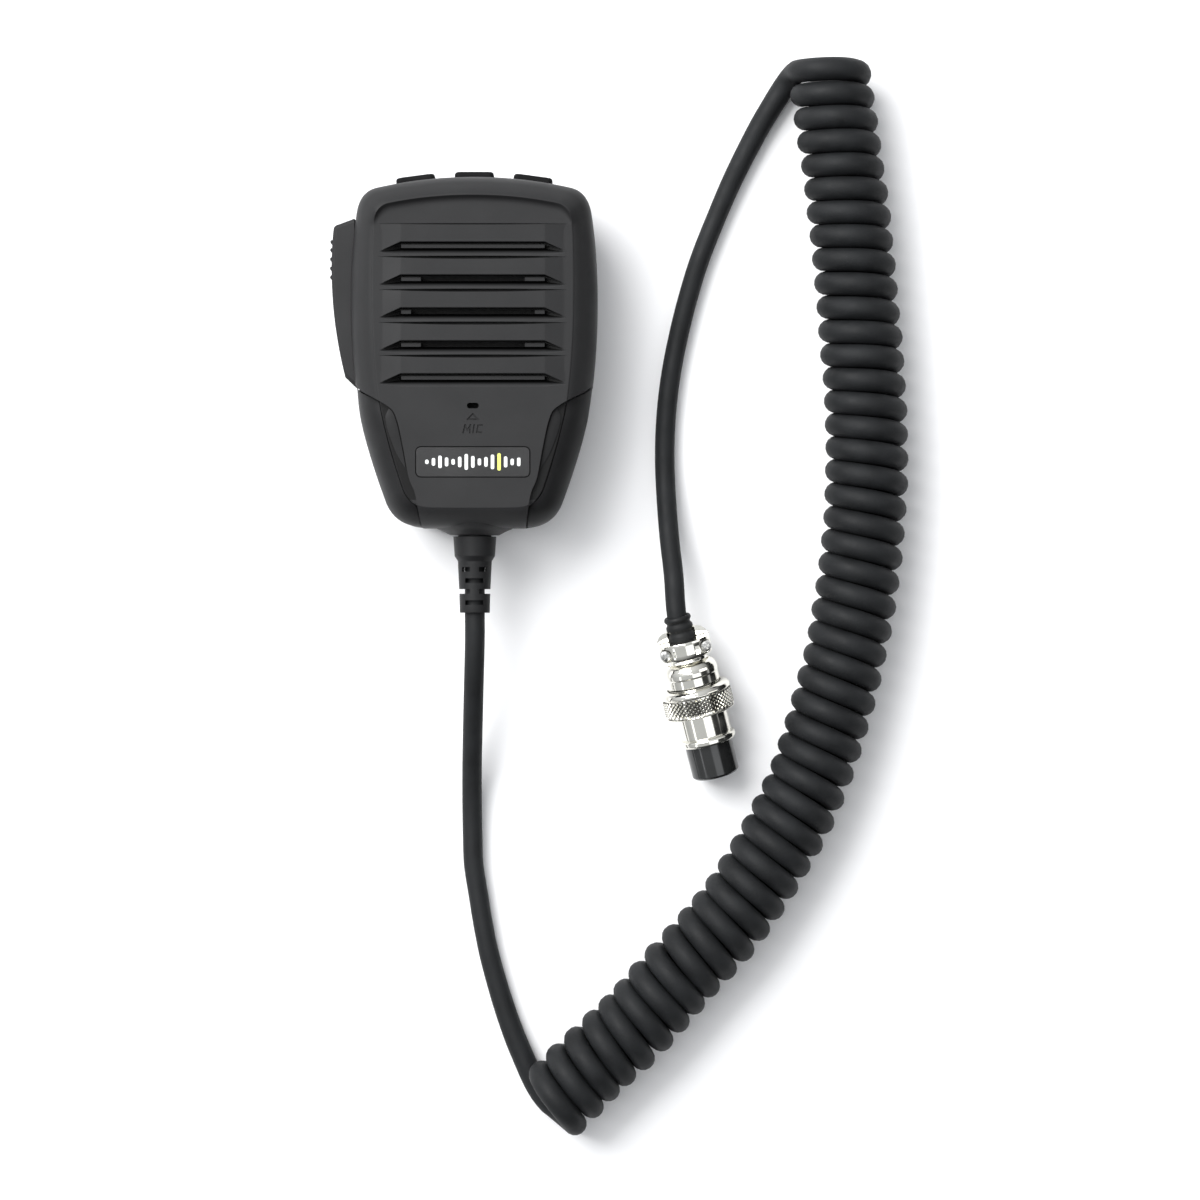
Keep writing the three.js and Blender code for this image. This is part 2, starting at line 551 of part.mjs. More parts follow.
// ---- Cord: straight lead, curled stretch, tail -----------------------------------------------
const FLOOR_Z = CABLE_R + 0.1;
const LEAD = [
  [0, RELIEF_END - SEAM, 18.5], [0, -76, 18.2], [-0.2, -83, 16.9], [-0.5, -91, 13.9], [-0.8, -99, 10.3],
  [-1.1, -108, 6.4], [-1.2, -117, 3.8], [-1.1, -126, 2.8], [-0.8, -134, FLOOR_Z], [0.3, -141, FLOOR_Z],
  [1.5, -148.5, FLOOR_Z], [3, -156, FLOOR_Z], [5, -163.5, FLOOR_Z], [7.3, -171, FLOOR_Z], [10, -178.5, 2.7],
  [12.5, -184.3, 2.9],
];
const CURL = [
  [18.6, -194.5], [29.4, -183.6], [40, -173.8], [51.3, -160.9], [63.4, -147.6], [74, -131.8], [83.6, -113],
  [90.4, -91.8], [94.2, -76], [97.3, -56.2], [98.8, -35.9], [98.5, -15.6], [96.9, 4.6], [95.3, 22.2],
  [93.9, 34.9], [91.8, 50], [89.1, 68.6],
].map(([x, y]) => [x, y, CURL_R]);
const PLUG_FRAME = { clamp: [52.1, -75.6, 12.3], tip: [61, -110.8, 6.1] };
const TAIL = [
  [78.2, 64.2, 3], [76.2, 61.3, 2.9], [73.1, 56.2, 2.7], [70.3, 51.1, FLOOR_Z], [65.2, 40.9, FLOOR_Z],
  [60.8, 30.7, FLOOR_Z],
  [56.8, 20.5, FLOOR_Z], [53.7, 10.3, FLOOR_Z], [51.2, 0.1, FLOOR_Z], [49.3, -10.1, FLOOR_Z],
  [48.2, -20.3, FLOOR_Z], [47.9, -30.5, 3], [48.3, -40.8, 4.9], [49, -50.5, 8.1], [50, -60, 11.6],
  [50.7, -66.5, 13.1],
];
addNode("cord_lead", tube(LEAD, CABLE_R, 8, 30), CORD);
addNode("cord_curl", tube(CURL, CURL_R - 0.05, 12, 30), CORD);
addNode("cord_tail", tube(TAIL, CABLE_R, 8, 34), CORD);

// ---- Plug: built along its own +Y from the clamp's top, then laid on the surface -----------------
const clampTop = new THREE.Vector3(...PLUG_FRAME.clamp);
const along = new THREE.Vector3(...PLUG_FRAME.tip).sub(clampTop).normalize();
const across = along.clone().cross(new THREE.Vector3(0, 0, 1)).normalize();
const upward = across.clone().cross(along);
const plug = new THREE.Group();
plug.matrixAutoUpdate = false;
plug.matrix.makeBasis(across, along, upward).setPosition(clampTop);
part.add(plug);
const PLUG = {
  clampR: 6.85, clampStart: -2, clampEnd: 5.6, boreR: 3.6,
  shellR: 7, shellEnd: 12.2,
  sleeveR: 6.6, sleeveBoreR: 6.25, lipStart: 25.7, lipEnd: 27.7, lipR: 7.35,
  insertR: 6, insertStart: 14, insertEnd: 36.5,
  ringR: 9, ringStart: 12.6, ringEnd: 19.8,
};
const bar = (y0, y1, radius, sides = 20) => solidOf(barY(0, 0, y0, y1, radius, sides));

const boot = turned([
  [2.65, -5.6], [3.3, -5.6], [3.45, -4.6], [3, -4], [3, -3.6], [3.45, -3], [3.45, -2.2], [3, -1.6],
  [3, -1.2], [3.4, -0.6], [3.4, 1.4], [2.65, 1.4],
], 12);
addNode("plug_boot", boot, SLEEVE, plug);

const clampDisc = solidOf(turned([
  [PLUG.boreR, PLUG.clampStart], [4.6, PLUG.clampStart], [6.4, -0.5], [PLUG.clampR, 1.2],
  [PLUG.clampR, 4.4], [6.1, PLUG.clampEnd],
  [PLUG.boreR, PLUG.clampEnd],
], 24));
const upperHalf = solidOf(box([-10, -3, 0.5], [10, 12, 10]));
const lowerHalf = solidOf(box([-10, -3, -10], [10, 12, -0.3]));
const shellBody = solidOf(turned([
  [PLUG.boreR, PLUG.clampEnd - 0.4], [5.1, PLUG.clampEnd - 0.4], [5.1, 6.2], [6.3, 7], [PLUG.shellR, 8.5],
  [PLUG.shellR, PLUG.shellEnd], [PLUG.boreR, PLUG.shellEnd],
]));
const SADDLE_SCREWS = [[-5.2, 1], [5.2, 2]];
const SADDLE_SCREW_Y = 3;
const SADDLE_SEAT_Z = 2.6;
const screwBar = (x, z0, z1, r) => barZ(x, SADDLE_SCREW_Y, z0, z1, r, 12);
const saddleHoles = join(SADDLE_SCREWS.map(([x]) => screwBar(x, -4.2, 9, 0.95)));
const headSeats = join(SADDLE_SCREWS.map(([x]) => screwBar(x, SADDLE_SEAT_Z, 9, 1.75)));
addNode("plug_shell", shellBody.add(clampDisc.intersect(lowerHalf)).subtract(saddleHoles), NICKEL, plug);
const saddleTrim = solidOf(box([-10, 0.5, 0], [10, PLUG.clampEnd - 0.5, 10]));
addNode("clamp_saddle", clampDisc.intersect(upperHalf).intersect(saddleTrim)
  .subtract(saddleHoles).subtract(headSeats), NICKEL, plug);
for (const [x, number] of SADDLE_SCREWS) {
  const head = screwBar(x, SADDLE_SEAT_Z + 0.15, 4.3, 1.55);
  const shank = screwBar(x, -3.6, SADDLE_SEAT_Z + 0.2, 0.75);
  addNode(`saddle_screw_${number}`, join([head, shank]), STEEL, plug);
}

addNode("plug_sleeve", turned([
  [PLUG.sleeveBoreR, PLUG.shellEnd + SEAM], [PLUG.sleeveR, PLUG.shellEnd + SEAM],
  [PLUG.sleeveR, PLUG.lipStart],
  [PLUG.lipR, PLUG.lipStart + 0.3], [PLUG.lipR, PLUG.lipEnd], [PLUG.sleeveBoreR, PLUG.lipEnd],
], 24), NICKEL, plug);
const CONTACTS = [45, 135, 225, 315].map((degrees) => THREE.MathUtils.degToRad(degrees));
const CONTACT_CIRCLE = 3.3;
const WELL_START = 29;
const CONTACT_TUBE = [[0.7, WELL_START + 0.2], [1.15, WELL_START + 0.2], [1.15, 35.4], [0.7, 35.4]];
const contactAt = (angle, geometry) =>
  geometry.translate(CONTACT_CIRCLE * Math.cos(angle), 0, CONTACT_CIRCLE * Math.sin(angle));
const wells = join(CONTACTS.map((a) => contactAt(a, barY(0, 0, WELL_START, 38, 1.35, 12))));
const keyway = solidOf(box([-0.8, WELL_START, -7], [0.8, 38, -5]));
const insertBar = bar(PLUG.insertStart, PLUG.insertEnd, PLUG.insertR, 24);
addNode("plug_insert", insertBar.subtract(wells).subtract(keyway), GLOSS, plug);
CONTACTS.forEach((angle, i) => {
  addNode(`contact_${i + 1}`, contactAt(angle, turned(CONTACT_TUBE, 12)), BRASS, plug);
});

// The ring slides and turns on the sleeve; the washer slides with it.
const RING_BORE_R = 6.95;
const RING_RIM = 14; // where the ring's inner rim ends
addNode("coupling_ring", turned([
  [RING_BORE_R, PLUG.ringStart], [7.6, PLUG.ringStart], [8.7, 13.2], [PLUG.ringR, RING_RIM],
  [PLUG.ringR, PLUG.ringEnd], [8, PLUG.ringEnd], [8, RING_RIM], [RING_BORE_R, RING_RIM],
], 24), NICKEL, plug);
addNode("ring_washer", turned([
  [6.8, RING_RIM + 0.2], [7.8, RING_RIM + 0.2], [7.8, RING_RIM + 0.6], [6.8, RING_RIM + 0.6],
], 24), STEEL, plug);

export default part;
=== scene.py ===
import json
import math

import bmesh
import bpy
import numpy as np
from mathutils import Matrix, Vector

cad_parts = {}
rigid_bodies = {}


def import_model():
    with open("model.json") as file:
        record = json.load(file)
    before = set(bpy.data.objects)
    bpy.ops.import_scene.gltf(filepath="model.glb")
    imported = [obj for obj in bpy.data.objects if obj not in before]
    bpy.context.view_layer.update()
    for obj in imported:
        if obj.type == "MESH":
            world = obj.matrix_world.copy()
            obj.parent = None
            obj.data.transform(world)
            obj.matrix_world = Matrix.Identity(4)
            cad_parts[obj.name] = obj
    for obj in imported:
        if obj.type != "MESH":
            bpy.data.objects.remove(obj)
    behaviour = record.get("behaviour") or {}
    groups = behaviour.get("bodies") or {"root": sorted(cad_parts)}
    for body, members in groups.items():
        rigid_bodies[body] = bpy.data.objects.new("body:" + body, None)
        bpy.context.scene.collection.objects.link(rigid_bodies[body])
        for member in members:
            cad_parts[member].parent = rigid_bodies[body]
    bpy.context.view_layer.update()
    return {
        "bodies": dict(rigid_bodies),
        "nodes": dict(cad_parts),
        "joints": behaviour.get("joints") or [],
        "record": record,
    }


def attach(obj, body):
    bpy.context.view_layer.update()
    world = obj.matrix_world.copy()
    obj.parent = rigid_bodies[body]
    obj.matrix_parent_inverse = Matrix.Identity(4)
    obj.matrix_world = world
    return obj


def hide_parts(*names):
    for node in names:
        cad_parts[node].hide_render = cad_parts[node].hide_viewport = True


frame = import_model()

# ---- Camera, table and light --------------------------------------------------
# The microphone lies on a plain pale table, seen from straight above. One broad soft lamp
# stands at the upper left, a weaker one at the right, and a long strip hangs overhead.
camera = bpy.data.objects.new("camera", bpy.data.cameras.new("camera"))
camera.location = (0.0314, -0.06625, 0.95)
camera.data.lens = 111.4
bpy.context.scene.collection.objects.link(camera)
bpy.context.scene.camera = camera


def soft_lamp(name, place, towards, width, depth, watts):
    """A rectangular lamp at place that shines towards a point."""
    lamp = bpy.data.lights.new(name, "AREA")
    lamp.shape = "RECTANGLE"
    lamp.size, lamp.size_y, lamp.energy = width, depth, watts
    stand = bpy.data.objects.new(name, lamp)
    x, y, z = (t - p for t, p in zip(towards, place))
    stand.location = place
    stand.rotation_euler = (math.atan2(math.hypot(x, y), -z), 0, math.atan2(-x, y))
    bpy.context.scene.collection.objects.link(stand)
    return stand


TABLE_CENTRE = (0.03, -0.06, 0.0)
soft_lamp("key_lamp", (-0.75, 0.7, 1.2), TABLE_CENTRE, 1.2, 1.0, 32)
soft_lamp("side_lamp", (1.2, 0.3, 0.9), TABLE_CENTRE, 0.4, 1.0, 2)
soft_lamp("overhead_strip", (-0.42, 0.1, 1.5), TABLE_CENTRE, 0.16, 1.2, 6)

sky = bpy.data.worlds.new("studio")  # pale walls, brighter behind the key lamp
sky.use_nodes = True
sky_nodes, sky_links = sky.node_tree.nodes, sky.node_tree.links
way = sky_nodes.new("ShaderNodeTexCoord")
towards_key = sky_nodes.new("ShaderNodeVectorMath")
towards_key.operation = "DOT_PRODUCT"
towards_key.inputs[1].default_value = (-0.45, 0.5, 0.74)
walls = sky_nodes.new("ShaderNodeMapRange")
for key, value in (("From Min", -0.1), ("From Max", 1.0), ("To Min", 0.05), ("To Max", 1.0)):
    walls.inputs[key].default_value = value
sky_links.new(way.outputs["Generated"], towards_key.inputs[0])
sky_links.new(towards_key.outputs["Value"], walls.inputs["Value"])
# In the strip of sky that the plug's metal mirrors, a dark card stands beside a bright panel.
along_strip = sky_nodes.new("ShaderNodeVectorMath")
across_strip = sky_nodes.new("ShaderNodeVectorMath")
for dot, direction in ((along_strip, (0.2416, -0.9557, -0.1683)), (across_strip, (0.9695, 0.2451, 0))):
    dot.operation = "DOT_PRODUCT"
    dot.inputs[1].default_value = direction
    sky_links.new(way.outputs["Generated"], dot.inputs[0])
off_strip = sky_nodes.new("ShaderNodeMath")
off_strip.operation = "COMPARE"
off_strip.inputs[1].default_value = 0.19
off_strip.inputs[2].default_value = 0.11
sky_links.new(along_strip.outputs["Value"], off_strip.inputs[0])
halfway = sky_nodes.new("ShaderNodeMapRange")
halfway.inputs["From Min"].default_value = -1
sky_links.new(across_strip.outputs["Value"], halfway.inputs["Value"])
cards = sky_nodes.new("ShaderNodeValToRGB")
CARDS = [
    (-1, 0.13), (-0.8, 0.165), (-0.78, 0.7), (-0.74, 0.7), (-0.72, 0.165), (0.02, 0.16), (0.08, 0.5),
    (0.56, 0.5), (0.64, 0.01), (0.9, 0.01), (0.95, 0.13),
]
for place, _ in CARDS[2:]:
    cards.color_ramp.elements.new((place + 1) / 2)
for stop, (place, level) in zip(cards.color_ramp.elements, CARDS):
    stop.position, stop.color = (place + 1) / 2, (level, level, level, 1)
sky_links.new(halfway.outputs["Result"], cards.inputs["Fac"])
panel = sky_nodes.new("ShaderNodeMath")
panel.operation = "MULTIPLY"
panel.inputs[1].default_value = 4
sky_links.new(cards.outputs["Color"], panel.inputs[0])
strength = sky_nodes.new("ShaderNodeMapRange")
sky_links.new(off_strip.outputs["Value"], strength.inputs["Value"])
sky_links.new(walls.outputs["Result"], strength.inputs["To Min"])
sky_links.new(panel.outputs["Value"], strength.inputs["To Max"])
sky_links.new(strength.outputs["Result"], sky_nodes["Background"].inputs["Strength"])
sky_nodes["Background"].inputs["Color"].default_value = (0.95, 0.97, 1, 1)
bpy.context.scene.world = sky
bpy.context.scene.view_settings.view_transform = "Standard"


def new_piece(name, points_mm, faces):
    """A mesh object at the origin whose points are given in millimetres."""
    mesh = bpy.data.meshes.new(name)
    points = np.asarray(points_mm, float) * 0.001
    mesh.from_pydata(points.tolist(), [], faces)
    mesh.update()
    piece = bpy.data.objects.new(name, mesh)
    bpy.context.scene.collection.objects.link(piece)
    return piece


class Finish:
    """A material under construction: a Principled shader and a few ways to vary it."""

    def __init__(self, name, colour, roughness, metallic=0.0, **sockets):
        self.material = bpy.data.materials.new(name)
        self.material.use_nodes = True
        self.tree = self.material.node_tree
        self.shader = self.tree.nodes["Principled BSDF"]
        self.shader.inputs["Base Color"].default_value = (*colour, 1)
        self.shader.inputs["Roughness"].default_value = roughness
        self.shader.inputs["Metallic"].default_value = metallic
        for socket, value in sockets.items():
            self.shader.inputs[socket.replace("_", " ")].default_value = value
        self.colour = colour
        self.place = self.node("ShaderNodeTexCoord").outputs["Object"]

    def node(self, kind, **settings):
        """A new node, with each setting put on its socket or else on the node itself."""
        made = self.tree.nodes.new(kind)
        for key, value in settings.items():
            if key in made.inputs:
                made.inputs[key].default_value = value
            else:
                setattr(made, key, value)
        return made

    def link(self, out, into):
        self.tree.links.new(out, into)

    def noise(self, size_mm, detail=3.0, stretch=None):
        """Cloudy noise whose blobs are about size_mm across, drawn out by stretch (x, y, z)."""
        noise = self.node("ShaderNodeTexNoise", Scale=1000 / size_mm, Detail=detail)
        place = self.place
        if stretch:
            mapping = self.node("ShaderNodeMapping")
            mapping.inputs["Scale"].default_value = stretch
            self.link(place, mapping.inputs["Vector"])
            place = mapping.outputs["Vector"]
        self.link(place, noise.inputs["Vector"])
        return noise.outputs["Fac"]

    def between(self, fac, low, high, from_low=0.3, from_high=0.7):
        """Spreads a value over the range from low to high."""
        spread = self.node("ShaderNodeMapRange")
        self.link(fac, spread.inputs["Value"])
        ends = {"From Min": from_low, "From Max": from_high, "To Min": low, "To Max": high}
        for key, value in ends.items():
            spread.inputs[key].default_value = value
        return spread.outputs["Result"]

    def mottle(self, fac, darker, lighter):
        """Varies the colour between darker and lighter shares of itself."""
        ramp = self.node("ShaderNodeValToRGB")
        ends = ramp.color_ramp.elements
        ends[0].position, ends[1].position = 0.3, 0.7
        ends[0].color = (*[c * darker for c in self.colour], 1)
        ends[1].color = (*[min(1, c * lighter) for c in self.colour], 1)
        self.link(fac, ramp.inputs["Fac"])
        self.link(ramp.outputs["Color"], self.shader.inputs["Base Color"])
        return self

    def rough(self, fac, low, high):
        """Varies the roughness between low and high."""
        self.link(self.between(fac, low, high), self.shader.inputs["Roughness"])
        return self

    def relief(self, fac, height_mm):
        """Raises the surface by up to height_mm, on top of any relief it has."""
        bump = self.node("ShaderNodeBump", Strength=1.0, Distance=height_mm * 0.001)
        self.link(fac, bump.inputs["Height"])
        if self.shader.inputs["Normal"].is_linked:
            self.link(self.shader.inputs["Normal"].links[0].from_socket, bump.inputs["Normal"])
        self.link(bump.outputs["Normal"], self.shader.inputs["Normal"])
        return self


TABLE_HALF = 2500
TABLE_Z = -0.2
table_corners = [(x * TABLE_HALF, y * TABLE_HALF, TABLE_Z) for x, y in ((-1, -1), (1, -1), (1, 1), (-1, 1))]
table = new_piece("table", table_corners, [(0, 1, 2, 3)])
table_top = Finish("table_top", (0.9, 0.9, 0.905), 0.8)
table_top.mottle(table_top.noise(140), 0.99, 1.01)
table.data.materials.append(table_top.material)

# ---- Cord -----------------------------------------------------------------------
# Four-core cable in a satin black polyurethane jacket: a plain lead from the strain relief, a
# length wound on a mandrel and heat-set into touching turns, and a plain tail into the plug.
LEAD = [
    (0, -58, 18.5), (0, -69.8, 18.5), (0, -76, 18.2), (-0.2, -83, 16.9), (-0.5, -91, 13.9),
    (-0.8, -99, 10.3), (-1.1, -108, 6.4), (-1.2, -117, 3.8), (-1.1, -126, 2.8), (-0.8, -134, 2.6),
    (0.3, -141, 2.6), (1.5, -148.5, 2.6), (3, -156, 2.6), (5, -163.5, 2.6), (7.3, -171, 2.6),
    (10, -178.5, 2.7), (12.5, -184.3, 2.9),
]
CURL = [
    (18.6, -194.5), (29.4, -183.6), (40, -173.8), (51.3, -160.9), (63.4, -147.6), (74, -131.8), (83.6, -113),
    (90.4, -91.8), (94.2, -76), (97.3, -56.2), (98.8, -35.9), (98.5, -15.6), (96.9, 4.6), (95.3, 22.2),
    (93.9, 34.9), (91.8, 50), (89.1, 68.6),
]
TAIL = [
    (76.2, 61.3, 2.9), (73.1, 56.2, 2.7), (70.3, 51.1, 2.6), (65.2, 40.9, 2.6), (60.8, 30.7, 2.6),
    (56.8, 20.5, 2.6), (53.7, 10.3, 2.6), (51.2, 0.1, 2.6), (49.3, -10.1, 2.6), (48.2, -20.3, 2.6),
    (47.9, -30.5, 3), (48.3, -40.8, 4.9), (49, -50.5, 8.1), (50, -60, 11.6), (50.75, -70.2, 13.25),
    (52.1, -75.6, 12.3),
]
COIL_AXIS_Z = 10.65
COIL_WIRE = 5.9  # jacket diameter in the curl
LEAD_WIRE = 5.0  # and in the plain ends
COIL_RADIUS = 7.7
TURNS = 47.75
STEPS_PER_TURN = 28


def smooth_line(points, spacing):
    """Points about spacing apart on a centripetal Catmull-Rom line."""
    p = np.array(points, float)
    p = np.vstack([2 * p[0] - p[1], p, 2 * p[-1] - p[-2]])
    line = []
    for a, b, c, d in zip(p, p[1:], p[2:], p[3:]):
        ta, tb, tc = (max(1e-9, np.linalg.norm(v)) ** 0.5 for v in (b - a, c - b, d - c))
        m1 = (c - b + tb * ((b - a) / ta - (c - a) / (ta + tb)))
        m2 = (c - b + tb * ((d - c) / tc - (d - b) / (tb + tc)))
        for t in np.arange(0, 1, 1 / max(1, math.ceil(np.linalg.norm(c - b) / spacing))):
            line.append((2 * t**3 - 3 * t**2 + 1) * b + (t**3 - 2 * t**2 + t) * m1
                        + (3 * t**2 - 2 * t**3) * c + (t**3 - t**2) * m2)
    return np.array([*line, p[-2]])


def evenly(points, count):
    """The same line resampled at count equal steps."""
    along = np.r_[0, np.cumsum(np.linalg.norm(np.diff(points, axis=0), axis=1))]
    at = np.linspace(0, along[-1], count)
    return np.column_stack([np.interp(at, along, points[:, k]) for k in range(points.shape[1])])


def bend(start, start_way, end, end_way, reach, count=12):
    """A smooth bend from start to end that leaves and arrives along the given ways."""
    a, d = np.array(start, float), np.array(end, float)
    b, c = a + np.array(start_way) * reach, d - np.array(end_way) * reach
    t = np.linspace(0, 1, count)[1:-1, None]
    return (1 - t) ** 3 * a + 3 * (1 - t) ** 2 * t * b + 3 * (1 - t) * t**2 * c + t**3 * d


steps = int(TURNS * STEPS_PER_TURN)
axis_line = evenly(smooth_line(CURL, 0.5), steps + 1)
heading = np.gradient(axis_line, axis=0)
heading /= np.linalg.norm(heading, axis=1)[:, None]
leftward = np.column_stack([-heading[:, 1], heading[:, 0]])
turn = np.linspace(0, TURNS * 2 * math.pi, steps + 1)
angle = -math.pi / 2 - turn + 0.05 * np.sin(turn / 9.7) + 0.04 * np.sin(turn / 4.3)
angle -= angle[0] + math.pi / 2
spread = COIL_RADIUS + 0.10 * np.sin(turn / 13.1) * np.sin(turn / 3.7) - 0.1
coil = np.column_stack([
    axis_line + leftward * (spread * np.cos(angle))[:, None],
    COIL_AXIS_Z + 0.05 + spread * np.sin(angle),
])
lead = smooth_line(LEAD, 2.5)
tail = smooth_line(TAIL, 2.5)
lead_way = (lead[-1] - lead[-2]) / np.linalg.norm(lead[-1] - lead[-2])
into_coil = bend(lead[-1], lead_way, coil[0], (-leftward[0][0], -leftward[0][1], 0.0), 4, 8)
tail_way = (tail[1] - tail[0]) / np.linalg.norm(tail[1] - tail[0])
coil_way = (coil[-1] - coil[-2]) / np.linalg.norm(coil[-1] - coil[-2])
out_of_coil = bend(coil[-1], coil_way, tail[0], tail_way, 5.5, 14)
route = np.vstack([lead, into_coil, coil, out_of_coil, tail])

travelled = np.r_[0, np.cumsum(np.linalg.norm(np.diff(route, axis=0), axis=1))]
coil_starts = travelled[len(lead) + len(into_coil)]
coil_ends = travelled[-len(tail) - len(out_of_coil) - 1]
beyond = np.maximum(coil_starts - travelled, travelled - coil_ends)
thickness = np.interp(beyond, [0, 45], [1.0, LEAD_WIRE / COIL_WIRE])

wire = bpy.data.curves.new("cord", "CURVE")
wire.dimensions = "3D"
wire.bevel_depth = COIL_WIRE / 2 * 0.001
wire.bevel_resolution = 6
spline = wire.splines.new("POLY")
spline.points.add(len(route) - 1)
spline.points.foreach_set("co", np.column_stack([route * 0.001, np.ones(len(route))]).ravel())
spline.points.foreach_set("radius", thickness)
spline.use_smooth = True
cord = bpy.data.objects.new("cord", wire)
bpy.context.scene.collection.objects.link(cord)

jacket = Finish("cord_jacket", (0.0098, 0.0106, 0.0115), 0.62, Specular_IOR_Level=0.22)
jacket.mottle(jacket.noise(7, 4), 0.75, 1.3)
jacket.rough(jacket.noise(3.5, 4), 0.55, 0.7)
jacket.relief(jacket.noise(0.45, 3), 0.05)
jacket.relief(jacket.noise(5, 2), 0.12)
wire.materials.append(jacket.material)

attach(cord, "mic")
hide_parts("cord_lead", "cord_curl", "cord_tail")

# ---- Rear cover -------------------------------------------------------------------
# The back half of the case, moulded in charcoal ABS with a fine spark-eroded texture. It is a
# shell with a rounded rim, screw posts inside, four deep screw holes and half of the cord exit.
PARTING = 17.0
SEAM = 0.3
EXIT_Z = 18.5
TOP_START = (0, 39.2)
TOP_BENDS = [
    ((12.2, 39.2), (24.2, 36.5)), ((28.7, 35.5), (29.5, 29.5)), ((30.9, 20), (30.95, 10)),
    ((31.1, -6), (28.6, -20.5)), ((27, -28.7), (22.4, -41.25)), ((20.2, -48), (12.5, -48.35)),
    ((6, -48.4), (0, -48.4)),
]
FOLD_BENDS = [  # the line where the side slopes meet the face; along the top, the crest of the brow
    ((10.86, 33.76), (20.73, 31.72)), ((24.18, 30.93), (24.68, 26.39)), ((25.07, 18.88), (24.97, 9.01)),
    ((24.9, -6.73), (22.92, -20.06)), ((21.34, -27.97), (17.68, -38.54)), ((16.1, -43.38), (10.67, -43.58)),
    ((4.94, -43.68), (0.0, -43.68)),
]
FOOT_BENDS = [  # the line where the brow's underside runs out into the face
    ((10.87, 31.7), (19.76, 29.73)), ((23.32, 28.94), (24.01, 25.38)), ((24.4, 18.96), (24.3, 9.08)),
    ((24.2, -6.73), (22.23, -19.87)), ((20.65, -27.67), (17.09, -38.24)), ((15.61, -42.79), (10.47, -42.98)),
    ((4.94, -43.03), (0.0, -43.03)),
]
PER_BEND = 40


def case_line(start, bends):
    """A closed symmetric line, anticlockwise, with the same count of points for each bend."""
    half, a = [], np.array(start, float)
    for b, c in bends:
        b, c = np.array(b, float), np.array(c, float)
        for t in np.arange(PER_BEND) / PER_BEND:
            half.append((1 - t) ** 2 * a + 2 * t * (1 - t) * b + t * t * c)
        a = c
    half.append(a)
    half = np.array(half)
    return np.vstack([half, half[-2:0:-1] * (-1, 1)])[::-1]


outer_line = case_line(TOP_START, TOP_BENDS)
fold_line = case_line((0, 33.76), FOLD_BENDS)
foot_line = case_line((0, 31.7), FOOT_BENDS)


def case_point(share):
    """The case line at share: 0 at the silhouette, 1 at the fold, 2 at the foot, further in beyond."""
    if share <= 1:
        return outer_line + (fold_line - outer_line) * share
    return fold_line + (foot_line - fold_line) * (share - 1)


def loft(name, rings, closed_ends=True):
    """A closed skin through rings that all have the same count of points."""
    rings = [np.asarray(r, float) for r in rings]
    count = len(rings[0])
    faces = [(k * count + i, k * count + j, (k + 1) * count + j, (k + 1) * count + i)
             for k in range(len(rings) - 1) for i, j in zip(range(count), (*range(1, count), 0))]
    if closed_ends:
        faces += [tuple(range(count))[::-1], tuple(range((len(rings) - 1) * count, len(rings) * count))]
    else:
        last = (len(rings) - 1) * count
        faces += [(last + i, last + (i + 1) % count, (i + 1) % count, i) for i in range(count)]
    piece = new_piece(name, np.vstack(rings), faces)
    outwards(piece)
    return piece


def outwards(piece):
    """Joins doubled points and turns every face outwards."""
    work = bmesh.new()
    work.from_mesh(piece.data)
    bmesh.ops.remove_doubles(work, verts=work.verts, dist=1e-7)
    bmesh.ops.recalc_face_normals(work, faces=work.faces)
    if work.calc_volume(signed=True) < 0:
        bmesh.ops.reverse_faces(work, faces=work.faces)
    work.to_mesh(piece.data)
    work.free()


def case_skin(name, levels):
    """A closed skin on the case outline: (height or heights round the line, share) from back to front."""
    rings = []
    for z, share in levels:
        ring = case_point(share)
        rings.append(np.column_stack([ring, np.broadcast_to(z, len(ring))]))
    return loft(name, rings)


def block(low, high, name="block"):
    """A box between two corners, for cutting and joining."""
    xs, ys, zs = zip(low, high)
    points = [(x, y, z) for z in zs for y in ys for x in xs]
    sides = [(0, 2, 3, 1), (4, 5, 7, 6), (0, 1, 5, 4), (2, 6, 7, 3), (0, 4, 6, 2), (1, 3, 7, 5)]
    return new_piece(name, points, sides)


def prism(outline, z0, z1, name="prism"):
    """A flat outline given thickness from z0 to z1."""
    outline = np.asarray(outline, float)
    return loft(name, [np.column_stack([outline, np.full(len(outline), z)]) for z in (z0, z1)])


def circle(x, y, r, sides=48):
    """Points round a circle, anticlockwise."""
    a = np.arange(sides) * 2 * math.pi / sides
    return np.column_stack([x + r * np.cos(a), y + r * np.sin(a)])


def lathe(name, profile, sides=64, frame=None):
    """A turned solid about its own Y axis from (radius, along) pairs, then placed by a 4x4 frame in mm."""
    a = np.arange(sides) * 2 * math.pi / sides
    hollow = all(r > 0.01 for r, _ in profile)
    rings = [np.column_stack([max(r, 0.01) * np.cos(a), np.full(sides, y), max(r, 0.01) * np.sin(a)])
             for r, y in profile]
    if frame is not None:
        turn, move = np.array(frame)[:3, :3], np.array(frame)[:3, 3]
        rings = [ring @ turn.T + move for ring in rings]
    return loft(name, rings, closed_ends=not hollow)


def carve(piece, tools, how="DIFFERENCE"):
    """Cuts, joins or trims a piece with other solids, which are used up."""
    for tool in tools:
        step = piece.modifiers.new("cut", "BOOLEAN")
        step.operation, step.object, step.solver = how, tool, "MANIFOLD"
    settle(piece)
    for tool in tools:
        bpy.data.objects.remove(tool)
    return piece


def settle(piece):
    """Makes a piece's modifiers part of its mesh."""
    seen = piece.evaluated_get(bpy.context.evaluated_depsgraph_get())
    mesh = bpy.data.meshes.new_from_object(seen)
    piece.modifiers.clear()
    piece.data = mesh


